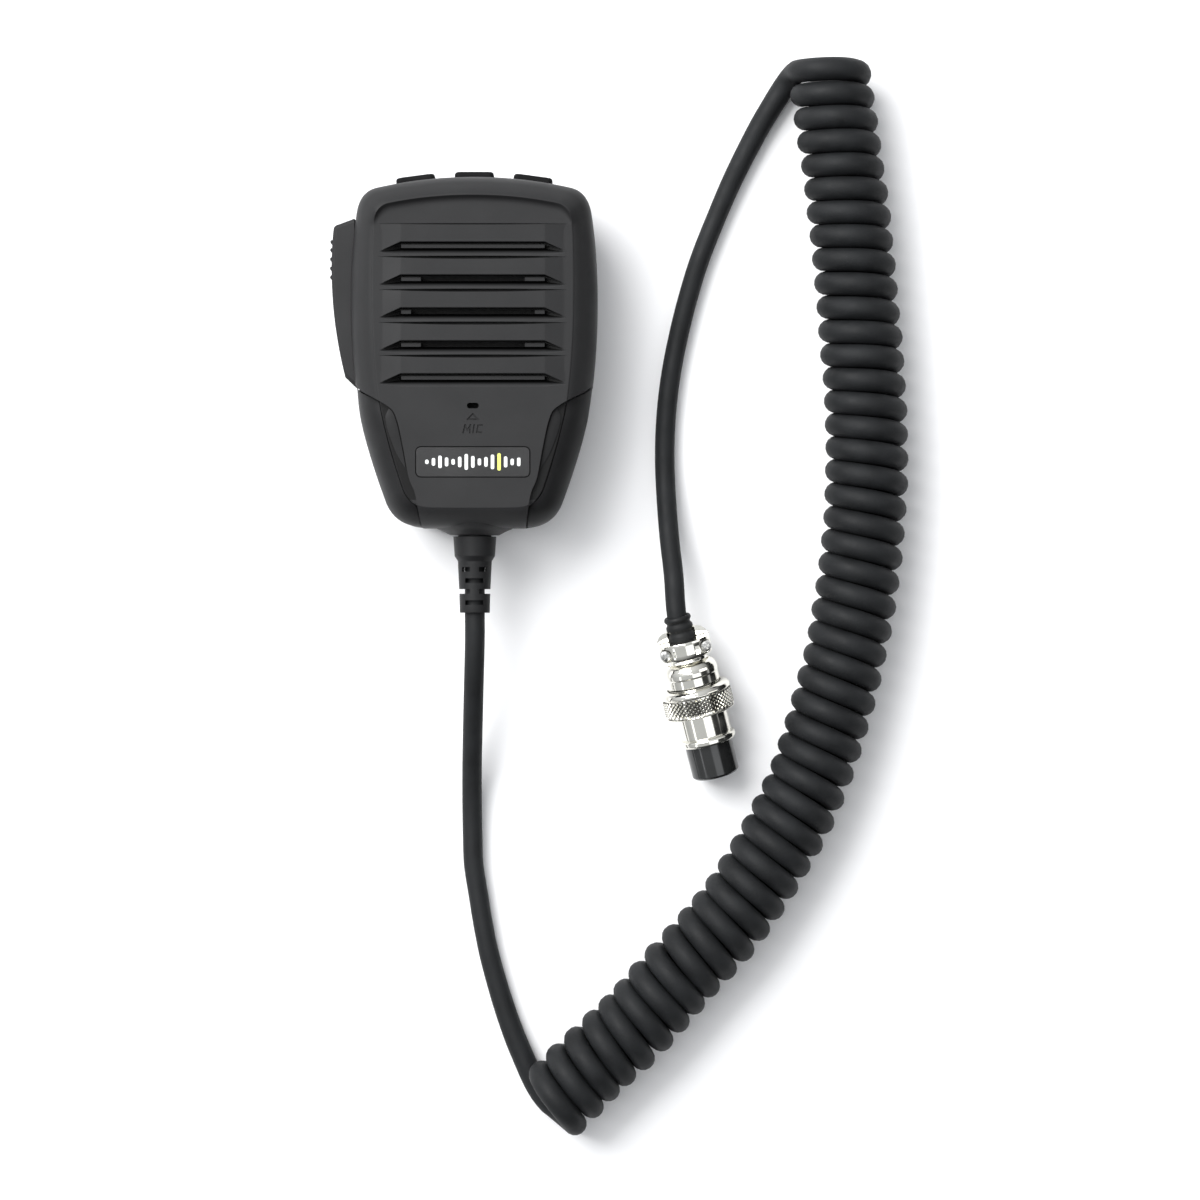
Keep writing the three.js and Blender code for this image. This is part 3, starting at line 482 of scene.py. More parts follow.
def smooth(piece, degrees=32):
    """Smooth shading that keeps edges sharper than this, with big flat faces kept flat."""
    piece.data.polygons.foreach_set("use_smooth", [True] * len(piece.data.polygons))
    piece.data.set_sharp_from_angle(angle=math.radians(degrees))
    weighted = piece.modifiers.new("flat", "WEIGHTED_NORMAL")
    weighted.keep_sharp = True
    weighted.weight = 80
    settle(piece)


def fit(piece, finish, body, slot, *nodes):
    """Gives a finished piece its material and its body, and hides the CAD nodes it stands for; the slot is
    not used.
    """
    piece.data.materials.clear()
    piece.data.materials.append(finish.material)
    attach(piece, body)
    if nodes:
        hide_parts(*nodes)
    return piece


def moulded(name, colour, roughness):
    """Charcoal ABS from a spark-eroded mould: fine even grain, faint flow marks."""
    made = Finish(name, colour, roughness, Specular_IOR_Level=0.2)
    made.mottle(made.noise(9, 3), 0.93, 1.07)
    made.rough(made.noise(14, 3), roughness - 0.04, roughness + 0.05)
    made.relief(made.noise(0.28, 2), 0.012)
    return made


abs_plastic = moulded("case_abs", (0.0178, 0.0178, 0.0184), 0.54)

BOSS = [
    (0, -44), (11.6, -44), (11.4, -46.2), (10.4, -47.8), (9.3, -48.5), (8.3, -48.9), (7.4, -49.3),
    (6.7, -49.7), (6.15, -50), (0, -50),
]
exit_frame = Matrix.Translation((0, 0, EXIT_Z))


def exit_boss():
    """The raised round collar that the cord leaves the case through."""
    return lathe("boss", BOSS, 96, exit_frame)


def exit_bore():
    """The hole down the collar, wider inside where the strain relief is held."""
    return lathe("bore", [(0, -53), (4.5, -53), (4.5, -46.8), (7, -46.8), (7, -40), (0, -40)], 48, exit_frame)


def case_hollow():
    """The space inside, with the wall behind the push-to-talk bar left standing."""
    space = case_skin("hollow", [(9.8, 0.8), (11.3, 0.62), (25, 0.62), (28.5, 0.85), (30.4, 1.15)])
    return carve(space, [block((-32, -15.2, 5), (-24.7, 30.8, 31.4))])


SCREW_PLACES = [(-22, 28), (22, 28), (-15, -37.5), (15, -37.5)]
REAR_SKIN = [
    (7, 0.95), (7.05, 0.86), (7.2, 0.72), (7.5, 0.56), (7.95, 0.42), (8.6, 0.28), (9.5, 0.16),
    (10.6, 0.08), (12, 0.03), (14, 0.02),
]
PTT_POCKET = ((-45, -13.6, 11.5), (-26.2, 29.4, 25.5))


def grip_outline(side, grow):
    """The grip's edge on the face, closed round the outside of the case."""
    edge = [(x - grow, y + grow * 0.6) for x, y in GRIP_EDGE]
    return [(side * x, y) for x, y in [(40, edge[0][1]), *edge, (edge[-1][0], -60), (40, -60)]]


GRIP_EDGE = smooth_line([
    (31.47, -12.26), (29.57, -13.14), (28.23, -14.51), (24.97, -16.36), (21.85, -18.2), (20.06, -19.66),
    (18.97, -22.24), (17.54, -28.71), (16.0, -36.61), (14.72, -39.72), (13.94, -43.76), (13.33, -47.91),
], 0.4)
GRIP_LOW = 11.8
GRIP_DEPTH = 1.3


TOP_RADIUS = 110.0  # of the top edge's arch
TOP_Y = 39.2  # where the arch meets the middle
KEY_X = {"left": -14.6, "centre": 0.0, "right": 14.6}


def on_top_edge(x):
    """The place and the turn of the arch of the top edge at x."""
    y = TOP_Y - x * x / (2 * TOP_RADIUS)
    return Matrix.Translation((x * 0.001, y * 0.001, 0)) @ Matrix.Rotation(-x / TOP_RADIUS, 4, "Z")


def key_holes():
    """Three holes through the arch of the top edge for the keys."""
    holes = []
    for x in KEY_X.values():
        hole = block((-5.2, -4, 15.5), (5.2, 4, 23.7))
        hole.data.transform(on_top_edge(x))
        holes.append(hole)
    return holes


def grip_pockets():
    """The seats that both covers have for the grips."""
    seats = []
    for side in (-1, 1):
        seat = prism(grip_outline(side, SEAM), GRIP_LOW - SEAM, 38)
        seats.append(carve(seat, [case_solid("core", GRIP_DEPTH + SEAM)]))
    return seats


FACE = 33.2
# From the parting to the face: share, height of the side slope, and height of the brow.
SLOPES = [
    (0.02, 23.6, 24.6), (0.03, 24.8, 26.0), (0.055, 25.9, 27.2), (0.1, 27.0, 28.3), (0.18, 28.2, 29.5),
    (0.32, 29.55, 30.85), (0.5, 30.8, 32.05), (0.68, 31.85, 33.1), (0.82, 32.5, 33.8),
    (0.93, 32.88, 34.25), (1.02, 33.05, 34.4), (1.14, 33.14, 34.1), (1.32, 33.185, 33.65),
    (1.52, 33.198, 33.38), (1.76, 33.2, 33.24), (2.0, 33.2, 33.2),
]
slope_line = smooth_line([(5 * share, side, brow) for share, side, brow in SLOPES], 0.45) / (5, 1, 1)
brow_share = np.clip((outer_line[:, 1] - 29.0) / (34.5 - 29.0), 0, 1)
brow_share = brow_share**2 * (3 - 2 * brow_share)


def case_levels(sunk=0.0):
    """Height and share of each ring of the whole case, with its surface sunk inwards by so much."""
    draw = sunk / 5
    levels = [(z + (sunk if z < 12 else 0), share + draw) for z, share in REAR_SKIN]
    for share, side, brow in slope_line:
        levels.append((side + (brow - side) * brow_share - sunk, share + draw))
    return [*levels, (FACE - sunk, 2.3), (FACE - sunk, 3.2)]


def case_solid(name, sunk=0.0):
    """The front of the case before anything is cut in it, or the same sunk by a skin's thickness."""
    return case_skin(name, case_levels(sunk))


rear = case_solid("rear_cover_shell")
posts = [prism(circle(x, y, 3), 7.4, PARTING) for x, y in SCREW_PLACES]
board_posts = [prism(circle(x, -26, 2.6), 9.3, 12.9) for x in (-17, 17)]
clamp_posts = [prism(circle(x, -37, 2.2), 9.3, PARTING) for x in (-6, 6)]
carve(rear, [exit_boss()], "UNION")
carve(rear, [block((-60, -80, -5), (60, 60, PARTING))], "INTERSECT")
carve(rear, [case_hollow()])
carve(rear, [*posts, *board_posts, *clamp_posts], "UNION")
holes = [prism(circle(x, y, 2.7), 5, 11.4) for x, y in SCREW_PLACES]
holes += [prism(circle(x, y, 1.5), 6, 18) for x, y in SCREW_PLACES]
holes += [prism(circle(x, -26, 1.1), 9.8, 14) for x in (-17, 17)]
holes += [prism(circle(x, -37, 1.1), 10.8, 18) for x in (-6, 6)]
holes += [prism(circle(0, 0, 2.3), 5, 11), exit_bore(), block(*PTT_POCKET), *key_holes(), *grip_pockets()]
carve(rear, holes)
smooth(rear)
fit(rear, abs_plastic, "mic", "case", "rear_cover")

# ---- Front cover ------------------------------------------------------------------
# The face of the case in the same charcoal ABS: a brow over the face, steep side slopes, five
# shingled slats with grooves between them, the microphone's hole, and seats for badge and grips.
front = case_solid("front_cover_shell")
carve(front, [exit_boss()], "UNION")
carve(front, [block((-60, -80, PARTING + SEAM), (60, 60, 60))], "INTERSECT")

SLAT_TOP = 26.6
SLAT_PITCH = 8.13
SLAT_DROP = 4.45
SLAT_PROUD = 0.75
SLAT_FLAT = 17.8  # half-length of a slat's flat
SLAT_END = 22.8  # and of the whole slat, ends included


def columns(*stops):
    """Places along X with extra ones close to each crease."""
    xs = []
    for a, b in zip(stops, stops[1:]):
        xs += list(np.linspace(a, b, max(2, int(abs(b - a) / 0.7) + 1))[:-1])
    xs.append(stops[-1])
    return [-x for x in xs[::-1] if x > 0] + xs


def slope_off(x, start, end, low, high):
    """low up to start, high from end on, straight in between."""
    return low + (high - low) * min(1, max(0, (abs(x) - start) / (end - start)))


def slat(top):
    """One louvre bar: a flat that slopes down to the face at both ends, its lower edge drawn up with it."""
    rings = []
    for x in columns(0, SLAT_FLAT - 0.12, SLAT_FLAT + 0.12, SLAT_END):
        z = FACE + slope_off(x, SLAT_FLAT, SLAT_END, SLAT_PROUD, -0.05)
        low = top - slope_off(x, SLAT_FLAT, SLAT_END, SLAT_DROP, 6.67)
        rings.append([
            (x, top, 31), (x, top, z - 0.1), (x, top - 0.04, z - 0.03), (x, top - 0.12, z),
            (x, low + 0.2, z + 0.02), (x, low + 0.07, z - 0.03), (x, low, z - 0.12), (x, low, 31),
        ])
    return loft("slat", rings)


def groove(top):
    """The space under a slat: a dark gap, a narrow ledge, then a rounded rise back to the face."""
    rings = []
    for x in columns(0, 17.7, 18.1, 18.95, SLAT_END + 0.15):
        start = top - slope_off(x, SLAT_FLAT, SLAT_END, SLAT_DROP, 6.67)
        end = top - slope_off(x, 17.3, SLAT_END, 7.8, 7.16)
        deep = slope_off(x, 18.5, SLAT_END + 0.15, 1.0, 0.0)
        across = end - start
        bottom = FACE - 2.6 * deep
        ledge = FACE - slope_off(x, 17.7, 18.1, 0.34, 2.4) * deep
        at = lambda w: start + across * w / 3.4
        ring = [
            (x, start, 37), (x, start, bottom), (x, at(0.5), bottom), (x, at(0.54), ledge - 0.05),
            (x, at(0.62), ledge), (x, at(1.45), ledge), (x, at(1.53), ledge - 0.06),
            (x, at(1.58), bottom + 0.3 * deep),
        ]
        for a in np.radians(np.linspace(8, 86, 10)):
            ring.append((x, start + across * (1 - 0.53 * math.cos(a)), bottom + 2.6 * deep * math.sin(a)))
        rings.append([*ring, (x, end, FACE + 0.01), (x, end, 37)])
    return loft("groove", rings)


def gap(top, widest):
    """The thin dark gap above a slat, widest in the middle."""
    rings = []
    for x in np.linspace(-SLAT_END - 0.3, SLAT_END + 0.3, 61):
        half = 0.03 + widest * max(0.0, 1 - (abs(x) / 22.6) ** 2.6)
        deep = 0.5 + 1.9 * max(0.0, 1 - (abs(x) / 22.6) ** 2)
        high = top + 0.05 + half * 0.6
        low, bottom = high - half * 2, FACE - deep
        rings.append([(x, high, 37), (x, high, bottom), (x, low, bottom), (x, low, 37)])
    return loft("gap", rings)


def rounded(x0, y0, x1, y1, r, steps=8):
    """A rectangle with round corners, anticlockwise."""
    line = []
    centres = ((x1 - r, y1 - r, 0), (x0 + r, y1 - r, 90), (x0 + r, y0 + r, 180), (x1 - r, y0 + r, 270))
    for cx, cy, start in centres:
        for a in (math.radians(start + 90 * k / steps) for k in range(steps + 1)):
            line.append((cx + r * math.cos(a), cy + r * math.sin(a)))
    return line


SLAT_ROWS = [SLAT_TOP - row * SLAT_PITCH for row in range(5)]
SLIT_HALF = [0, 12.85, 15.3, 12.85, 0]
MIC_Y = -18.25
BADGE = (-14.1, -35.9, 14.1, -28.4)
BADGE_CORNER = 1.3
carve(front, [slat(top) for top in SLAT_ROWS], "UNION")
carve(front, [groove(top) for top in SLAT_ROWS])
carve(front, [gap(top, 0.14 if row == 0 else 0.37) for row, top in enumerate(SLAT_ROWS)])
carve(front, [case_hollow()])
carve(front, [prism(circle(x, y, 2.8), PARTING + SEAM, 30.8) for x, y in SCREW_PLACES], "UNION")
openings = [block((-half, top - 5.95, 28), (half, top - 4.6, 34))
            for top, half in zip(SLAT_ROWS, SLIT_HALF) if half]
openings += [prism(rounded(-1.45, MIC_Y - 0.7, 1.45, MIC_Y + 0.7, 0.65), 28, 40)]
openings += [prism(circle(x, y, 1.35), 16, 29.4) for x, y in SCREW_PLACES]
x0, y0, x1, y1 = BADGE
openings += [prism(rounded(x0 - 0.14, y0 - 0.14, x1 + 0.14, y1 + 0.14, BADGE_CORNER + 0.14), FACE - 0.9, 40)]
carve(front, [*openings, exit_bore(), block(*PTT_POCKET), *key_holes(), *grip_pockets()])

# The label below the hole: a small arrowhead and three plain letters, pressed 0.35 mm into the face.
STROKE = 0.19


def stroke(a, b, low=FACE - 0.35, width=STROKE):
    """A thin upright slab from a to b, for pressing a line into the face."""
    (ax, ay), (bx, by) = a, b
    long = math.hypot(bx - ax, by - ay)
    ux, uy = (bx - ax) / long * width, (by - ay) / long * width
    corners = [
        (ax - ux - uy, ay - uy + ux), (ax - ux + uy, ay - uy - ux), (bx + ux + uy, by + uy - ux),
        (bx + ux - uy, by + uy + ux),
    ]
    return prism(corners, low, 37)


LABEL = [
    ((-1.28, -21.64), (0.0, -20.31)), ((0.0, -20.31), (1.28, -21.64)), ((-1.28, -21.64), (1.28, -21.64)),
    ((-2.37, -24.91), (-1.88, -23.03)), ((-1.88, -23.03), (-1.33, -24.31)),
    ((-1.33, -24.31), (-0.59, -23.03)), ((-0.59, -23.03), (-0.74, -24.91)),
    ((0.05, -24.91), (0.35, -23.03)), ((2.27, -23.08), (1.28, -23.13)), ((1.28, -23.13), (0.99, -24.81)),
    ((0.99, -24.81), (2.07, -24.86)),
]
for line in LABEL:
    carve(front, [stroke(*line)])
smooth(front)


def painted_groove_shade(made):
    """Paints shade into the plastic down in the grooves and the pressed marks: the colour darkens where the
    surface sinks below the face.
    """
    axes = made.node("ShaderNodeSeparateXYZ")
    made.link(made.place, axes.inputs["Vector"])
    depth = made.between(axes.outputs["Z"], 0.06, 1.0, (FACE - 0.8) * 0.001, (FACE - 0.2) * 0.001)
    across = made.node("ShaderNodeMath", operation="COMPARE")
    along = made.node("ShaderNodeMath", operation="COMPARE")
    both = made.node("ShaderNodeMath", operation="MULTIPLY")
    for within, axis, middle, reach in ((across, "X", 0, SLAT_END + 0.4), (along, "Y", -7, 34.5)):
        made.link(axes.outputs[axis], within.inputs[0])
        within.inputs[1].default_value, within.inputs[2].default_value = middle * 0.001, reach * 0.001
    made.link(across.outputs[0], both.inputs[0])
    made.link(along.outputs[0], both.inputs[1])
    share = made.node("ShaderNodeMapRange")
    share.inputs["To Min"].default_value = 1.0
    made.link(both.outputs[0], share.inputs["Value"])
    made.link(depth, share.inputs["To Max"])
    shade = made.node("ShaderNodeVectorMath", operation="SCALE")
    made.link(made.shader.inputs["Base Color"].links[0].from_socket, shade.inputs[0])
    made.link(share.outputs["Result"], shade.inputs["Scale"])
    made.link(shade.outputs["Vector"], made.shader.inputs["Base Color"])
    return made


# The face's plastic carries painted shade: its colour darkens down in the grooves, the hole and the pressed
# marks, where the surface sinks below the face.
face_plastic_with_painted_shade = painted_groove_shade(moulded("face_abs_painted_shade", (0.0178, 0.0178, 0.0184), 0.54))
fit(front, face_plastic_with_painted_shade, "mic", "case", "front_cover")

# ---- Side grips -----------------------------------------------------------------------
# Two pads of smooth black elastomer in shallow seats on the lower sides. Each swells like a
# pillow and rolls down at its edge, so a thin dark line runs between it and the cover.
def edge_distance(points, side):
    """How far each point is from the grip's edge line, seen from the front."""
    line = np.array(GRIP_EDGE) * (side, 1)
    a, b = line[:-1], line[1:]
    away = np.full(len(points), 1e9)
    for p, q in zip(a, b):
        t = np.clip(((points - p) @ (q - p)) / ((q - p) @ (q - p)), 0, 1)
        away = np.minimum(away, np.linalg.norm(points - p - t[:, None] * (q - p), axis=1))
    return away


def drawn_in(distance):
    """The case line drawn in by the same distance all round, first to the fold and then past it."""
    bevel, ledge = fold_line - outer_line, foot_line - fold_line
    to_fold = np.linalg.norm(bevel, axis=1, keepdims=True)
    past = np.maximum(distance - to_fold, 0) / np.linalg.norm(ledge, axis=1, keepdims=True)
    return outer_line + bevel * np.minimum(distance / to_fold, 1) + ledge * past


def grip(side, name):
    """One grip: the case outline raised to a pillow, trimmed to its edge and hollowed to its seat."""
    rings = [np.column_stack([case_point(share + 0.02), np.full(len(outer_line), z)])
             for z, share in REAR_SKIN if z > 9]
    for a in np.radians(np.linspace(0, 90, 40)):
        out = max(GRIP_ACROSS * (1 - math.cos(a)), 0.1)  # how far in from the silhouette
        ring = drawn_in(out)
        away = edge_distance(ring, side)
        roll = 0.8 * np.exp(-((away / 2.6) ** 1.4))
        z = GRIP_SHOULDER + (FACE - 0.1 - GRIP_SHOULDER) * math.sin(a) - roll * min(1, a / 0.6)
        inward = drawn_in(out + 0.5) - ring
        rings.append(np.column_stack([ring + inward * (roll * 0.8)[:, None], z]))
    pad = loft(name, rings)
    carve(pad, [prism(grip_outline(side, 0), GRIP_LOW, 40)], "INTERSECT")
    carve(pad, [case_solid("core", GRIP_DEPTH)])
    smooth(pad, 40)
    return pad


GRIP_ACROSS = 10.5
GRIP_SHOULDER = 21.5
elastomer = Finish("grip_elastomer", (0.0125, 0.0125, 0.013), 0.5, Specular_IOR_Level=0.15)
elastomer.mottle(elastomer.noise(6, 3), 0.88, 1.12)
elastomer.rough(elastomer.noise(8, 4), 0.44, 0.54)
elastomer.relief(elastomer.noise(0.4, 2), 0.008)
fit(grip(-1, "left_grip"), elastomer, "mic", "grip", "grip_left")
fit(grip(1, "right_grip"), elastomer, "mic", "grip", "grip_right")

# ---- Badge ------------------------------------------------------------------------------
# A small satin plate set flush in the face, with a plain sound-wave mark printed on it in white
# ink and one bar in yellow-green.
def softened(piece, width, segments=3, degrees=40):
    """Breaks the piece's sharp edges with a small round."""
    rounding = piece.modifiers.new("rounding", "BEVEL")
    rounding.width = width * 0.001
    rounding.segments = segments
    rounding.limit_method = "ANGLE"
    rounding.angle_limit = math.radians(degrees)
    rounding.use_clamp_overlap = True
    settle(piece)
    return piece


badge_line = rounded(BADGE[0] + 0.1, BADGE[1] + 0.1, BADGE[2] - 0.1, BADGE[3] - 0.1, BADGE_CORNER - 0.1)
badge = prism(badge_line, FACE - 0.6, FACE + 0.02, "badge_plate")
softened(badge, 0.08, 2)
smooth(badge)
badge_satin = Finish("badge_satin", (0.0145, 0.0145, 0.015), 0.42, Specular_IOR_Level=0.25)
badge_satin.mottle(badge_satin.noise(5, 2), 0.96, 1.04)
badge_satin.rough(badge_satin.noise(11, 2), 0.3, 0.38)
badge_satin.relief(badge_satin.noise(0.35, 2), 0.004)
fit(badge, badge_satin, "mic", "plate", "nameplate")

BAR_HEIGHTS = [1.1, 1.9, 3.1, 2.2, 1.4, 2.6, 3.9, 2.9, 1.7, 2.4, 3.6, 4.3, 2.7, 1.6, 2.1]
BAR_STEP = 1.62
ACCENT_BAR = 11
badge_middle = (BADGE[1] + BADGE[3]) / 2


def printed_bar(number, height):
    """The outline of one bar of the mark, counted from the left."""
    x = (number - (len(BAR_HEIGHTS) - 1) / 2) * BAR_STEP
    return rounded(x - 0.42, badge_middle - height / 2, x + 0.42, badge_middle + height / 2, 0.38, 5)


def printed(name, bars):
    """A film of ink in the shape of the bars, just proud of the plate."""
    points, faces = [], []
    for bar in bars:
        for z in (FACE + 0.022, FACE + 0.035):
            points += [(x, y, z) for x, y in bar]
        low, count = len(points) - 2 * len(bar), len(bar)
        faces += [tuple(range(low, low + count))[::-1], tuple(range(low + count, low + 2 * count))]
        faces += [(low + i, low + (i + 1) % count, low + count + (i + 1) % count, low + count + i)
                  for i in range(count)]
    piece = new_piece(name, points, faces)
    outwards(piece)
    return piece


def ink(name, colour):
    """Screen ink: satin, with a slightly uneven coat."""
    made = Finish(name, colour, 0.4)
    made.mottle(made.noise(1.2, 2), 0.97, 1.0)
    made.rough(made.noise(0.8, 2), 0.36, 0.46)
    return made


bars = [printed_bar(number, height) for number, height in enumerate(BAR_HEIGHTS)]
white_bars = printed("badge_bars", [bar for number, bar in enumerate(bars) if number != ACCENT_BAR])
fit(white_bars, ink("white_ink", (0.86, 0.87, 0.86)), "mic", "plate")
fit(printed("badge_accent_bar", [bars[ACCENT_BAR]]), ink("lime_ink", (0.78, 0.80, 0.16)), "mic", "plate")

# ---- Push-to-talk bar -------------------------------------------------------------------
# A long bar of the case's own plastic on the left side, hinged on a steel pin at its lower end.
# Five half-round ribs stand on its edge where the thumb presses.
PTT_LOW, PTT_HIGH = 12.0, 25.0
PTT_MIDDLE = (PTT_LOW + PTT_HIGH) / 2
PTT_PIN = (-27.9, -10.5)


def quadratic(a, b, c, count=16):
    """A bend from a to c that is drawn towards b, without its last point."""
    t = np.linspace(0, 1, count, endpoint=False)[:, None]
    return list((1 - t) ** 2 * np.array(a) + 2 * t * (1 - t) * np.array(b) + t * t * np.array(c))


ptt_line = [
    (-28.9, 28.8), (-30.0, 28.8),
    *quadratic((-34.3, 27.2), (-34.95, 26.95), (-35.05, 26.2), 6),
    *quadratic((-35.05, 26.2), (-35.5, 22), (-35.55, 17)),
    *quadratic((-35.55, 17), (-35.6, 3), (-32.1, -10.75)),
    (-32.1, -10.75), (-29.8, -13), (-27.9, -13), (-26.5, -10.5), (-28.9, -8),
]
bar = softened(prism(ptt_line, PTT_LOW, PTT_HIGH, "push_to_talk_bar"), 0.95, 1, 50)


def repeated(name, pattern, places, finish, turns=None, size=1.0):
    """Copies of pattern at each place, made with a geometry tree: points, instances, realised."""
    tree = bpy.data.node_groups.new(name + "_tree", "GeometryNodeTree")
    tree.interface.new_socket("Geometry", in_out="INPUT", socket_type="NodeSocketGeometry")
    tree.interface.new_socket("Size", in_out="INPUT", socket_type="NodeSocketFloat")
    tree.interface.new_socket("Pattern", in_out="INPUT", socket_type="NodeSocketObject")
    tree.interface.new_socket("Finish", in_out="INPUT", socket_type="NodeSocketMaterial")
    tree.interface.new_socket("Geometry", in_out="OUTPUT", socket_type="NodeSocketGeometry")
    made = {kind: tree.nodes.new(kind) for kind in (
        "NodeGroupInput", "GeometryNodeInstanceOnPoints", "GeometryNodeObjectInfo",
        "GeometryNodeInputNamedAttribute", "GeometryNodeRealizeInstances", "GeometryNodeSetMaterial",
        "NodeGroupOutput")}
    made["GeometryNodeInputNamedAttribute"].data_type = "FLOAT_VECTOR"
    made["GeometryNodeInputNamedAttribute"].inputs["Name"].default_value = "turn"
    group, copies = made["NodeGroupInput"], made["GeometryNodeInstanceOnPoints"]
    link = tree.links.new
    link(group.outputs["Geometry"], copies.inputs["Points"])
    link(group.outputs["Pattern"], made["GeometryNodeObjectInfo"].inputs["Object"])
    link(made["GeometryNodeObjectInfo"].outputs["Geometry"], copies.inputs["Instance"])
    link(made["GeometryNodeInputNamedAttribute"].outputs["Attribute"], copies.inputs["Rotation"])
    link(group.outputs["Size"], copies.inputs["Scale"])
    link(copies.outputs["Instances"], made["GeometryNodeRealizeInstances"].inputs["Geometry"])
    real, painted = made["GeometryNodeRealizeInstances"], made["GeometryNodeSetMaterial"]
    link(real.outputs["Geometry"], painted.inputs["Geometry"])
    link(group.outputs["Finish"], made["GeometryNodeSetMaterial"].inputs["Material"])
    link(made["GeometryNodeSetMaterial"].outputs["Geometry"], made["NodeGroupOutput"].inputs["Geometry"])
    piece = new_piece(name, places, [])
    turned = piece.data.attributes.new("turn", "FLOAT_VECTOR", "POINT")
    turned.data.foreach_set("vector", np.ravel(turns if turns is not None else np.zeros((len(places), 3))))
    modifier = piece.modifiers.new("copies", "NODES")
    modifier.node_group = tree
    sockets = {item.name: item.identifier for item in tree.interface.items_tree if item.in_out == "INPUT"}
    modifier[sockets["Size"]] = size
    modifier[sockets["Pattern"]] = pattern
    modifier[sockets["Finish"]] = finish.material
    settle(piece)
    bpy.data.objects.remove(pattern)
    return piece


rib_profile = [
    (0, -5.3), (0.3, -5.27), (0.46, -5.1), (0.52, -4.8), (0.52, 4.8), (0.46, 5.1), (0.3, 5.27), (0, 5.3),
]
rib = lathe("rib", rib_profile, 20, Matrix.Rotation(math.pi / 2, 4, "X"))
RIB_PLACES = [(x, y, PTT_MIDDLE) for x, y in (
    (-35.38, 23.1), (-35.43, 21.1), (-35.48, 18.8), (-35.5, 16.5), (-35.48, 14.3))]
ribs = repeated("ribs", rib, RIB_PLACES, abs_plastic)
carve(bar, [ribs], "UNION")
nub = block((-29.4, 16.9, 15.6), (-24.3, 20.1, 18.8))
carve(bar, [nub], "UNION")
pin_hole = prism(circle(*PTT_PIN, 0.9), 10, 27)
SPRING_Y = 5
spring_seat = lathe("seat", [(0, -32.4), (2.3, -32.4), (2.3, -27), (0, -27)], 32,
                    Matrix.Translation((0, SPRING_Y, PTT_MIDDLE)) @ Matrix.Rotation(-math.pi / 2, 4, "Z"))
carve(bar, [pin_hole, spring_seat])
smooth(bar, 38)
fit(bar, abs_plastic, "ptt", "case", "ptt_bar")

# ---- Top keys ---------------------------------------------------------------------------
# Three silicone keys stand in the arch of the top edge. Each has a flange inside the case that
# keeps it in, and a stem that presses a small switch.
KEY_Z = 19.6
KEY_HALF_X, KEY_HALF_Z = 4.9, 3.8
KEY_CROWN = [  # height along the key, and how far its outline has drawn in there
    (-3.9, 0), (0.55, 0), (0.95, -0.05), (1.22, -0.18), (1.4, -0.38), (1.48, -0.62), (1.5, -1.0),
]
silicone = Finish("key_silicone", (0.0062, 0.0062, 0.0065), 0.65, Specular_IOR_Level=0.1)
silicone.mottle(silicone.noise(4, 3), 0.9, 1.12)
silicone.rough(silicone.noise(5, 3), 0.6, 0.72)
silicone.relief(silicone.noise(0.3, 2), 0.01)
for side, x in KEY_X.items():
    cap = rounded(-KEY_HALF_X, -KEY_HALF_Z, KEY_HALF_X, KEY_HALF_Z, 1.3)
    rings = []
    for y, grow in KEY_CROWN:
        wide, tall = 1 + grow / KEY_HALF_X, 1 + grow / KEY_HALF_Z
        rings.append([(px * wide, y, pz * tall + KEY_Z) for px, pz in cap])
    key = loft(f"key_cap_{side}", rings)
    flange = block((-6, -4.9, KEY_Z - 4.7), (6, -3.55, KEY_Z + 4.7))
    carve(key, [flange, block((-1.4, -6, 15.8), (1.4, -4.7, 18.6))], "UNION")
    key.data.transform(on_top_edge(x))
    smooth(key, 40)
    fit(key, silicone, f"key_{side}_body", "keys", f"key_{side}")

# ---- Strain relief --------------------------------------------------------------------
# A tapered sleeve of satin black PVC moulded round the cord. Four rows of openings, side slots
# and front-and-back windows by turns, let it flex; a neck inside the case holds it in the exit.
def eased(profile, r, steps=4):
    """A closed (radius, along) profile with its corners rounded off by about r; ends on the axis stay."""
    points, line = np.array(profile, float), []
    for a, b, c in zip(np.roll(points, 1, 0), points, np.roll(points, -1, 0)):
        if b[0] == 0:
            line.append(tuple(b))
            continue
        u = b + (a - b) * min(0.45, r / np.linalg.norm(a - b))
        v = b + (c - b) * min(0.45, r / np.linalg.norm(c - b))
        line += [tuple((1 - t) ** 2 * u + 2 * t * (1 - t) * b + t * t * v)
                 for t in np.linspace(0, 1, steps + 1)]
    return line


RELIEF = [
    (2.65, -69.45), (3.75, -69.45), (3.93, -63.25), (4.27, -56.5), (5.07, -55.25), (5.22, -53),
    (5.4, -50.35), (4.2, -50.35), (4.2, -46.45), (6.7, -46.45), (6.7, -45), (2.65, -45),
]
ROW_HALF = 0.58


def relief_row(y, spans, low, high):
    """Boxes through one row of openings, on the front and on the back."""
    cuts = []
    for x0, x1 in spans:
        cuts.append(block((x0, y - ROW_HALF, EXIT_Z + low), (x1, y + ROW_HALF, EXIT_Z + high)))
        cuts.append(block((x0, y - ROW_HALF, EXIT_Z - high), (x1, y + ROW_HALF, EXIT_Z - low)))
    return cuts


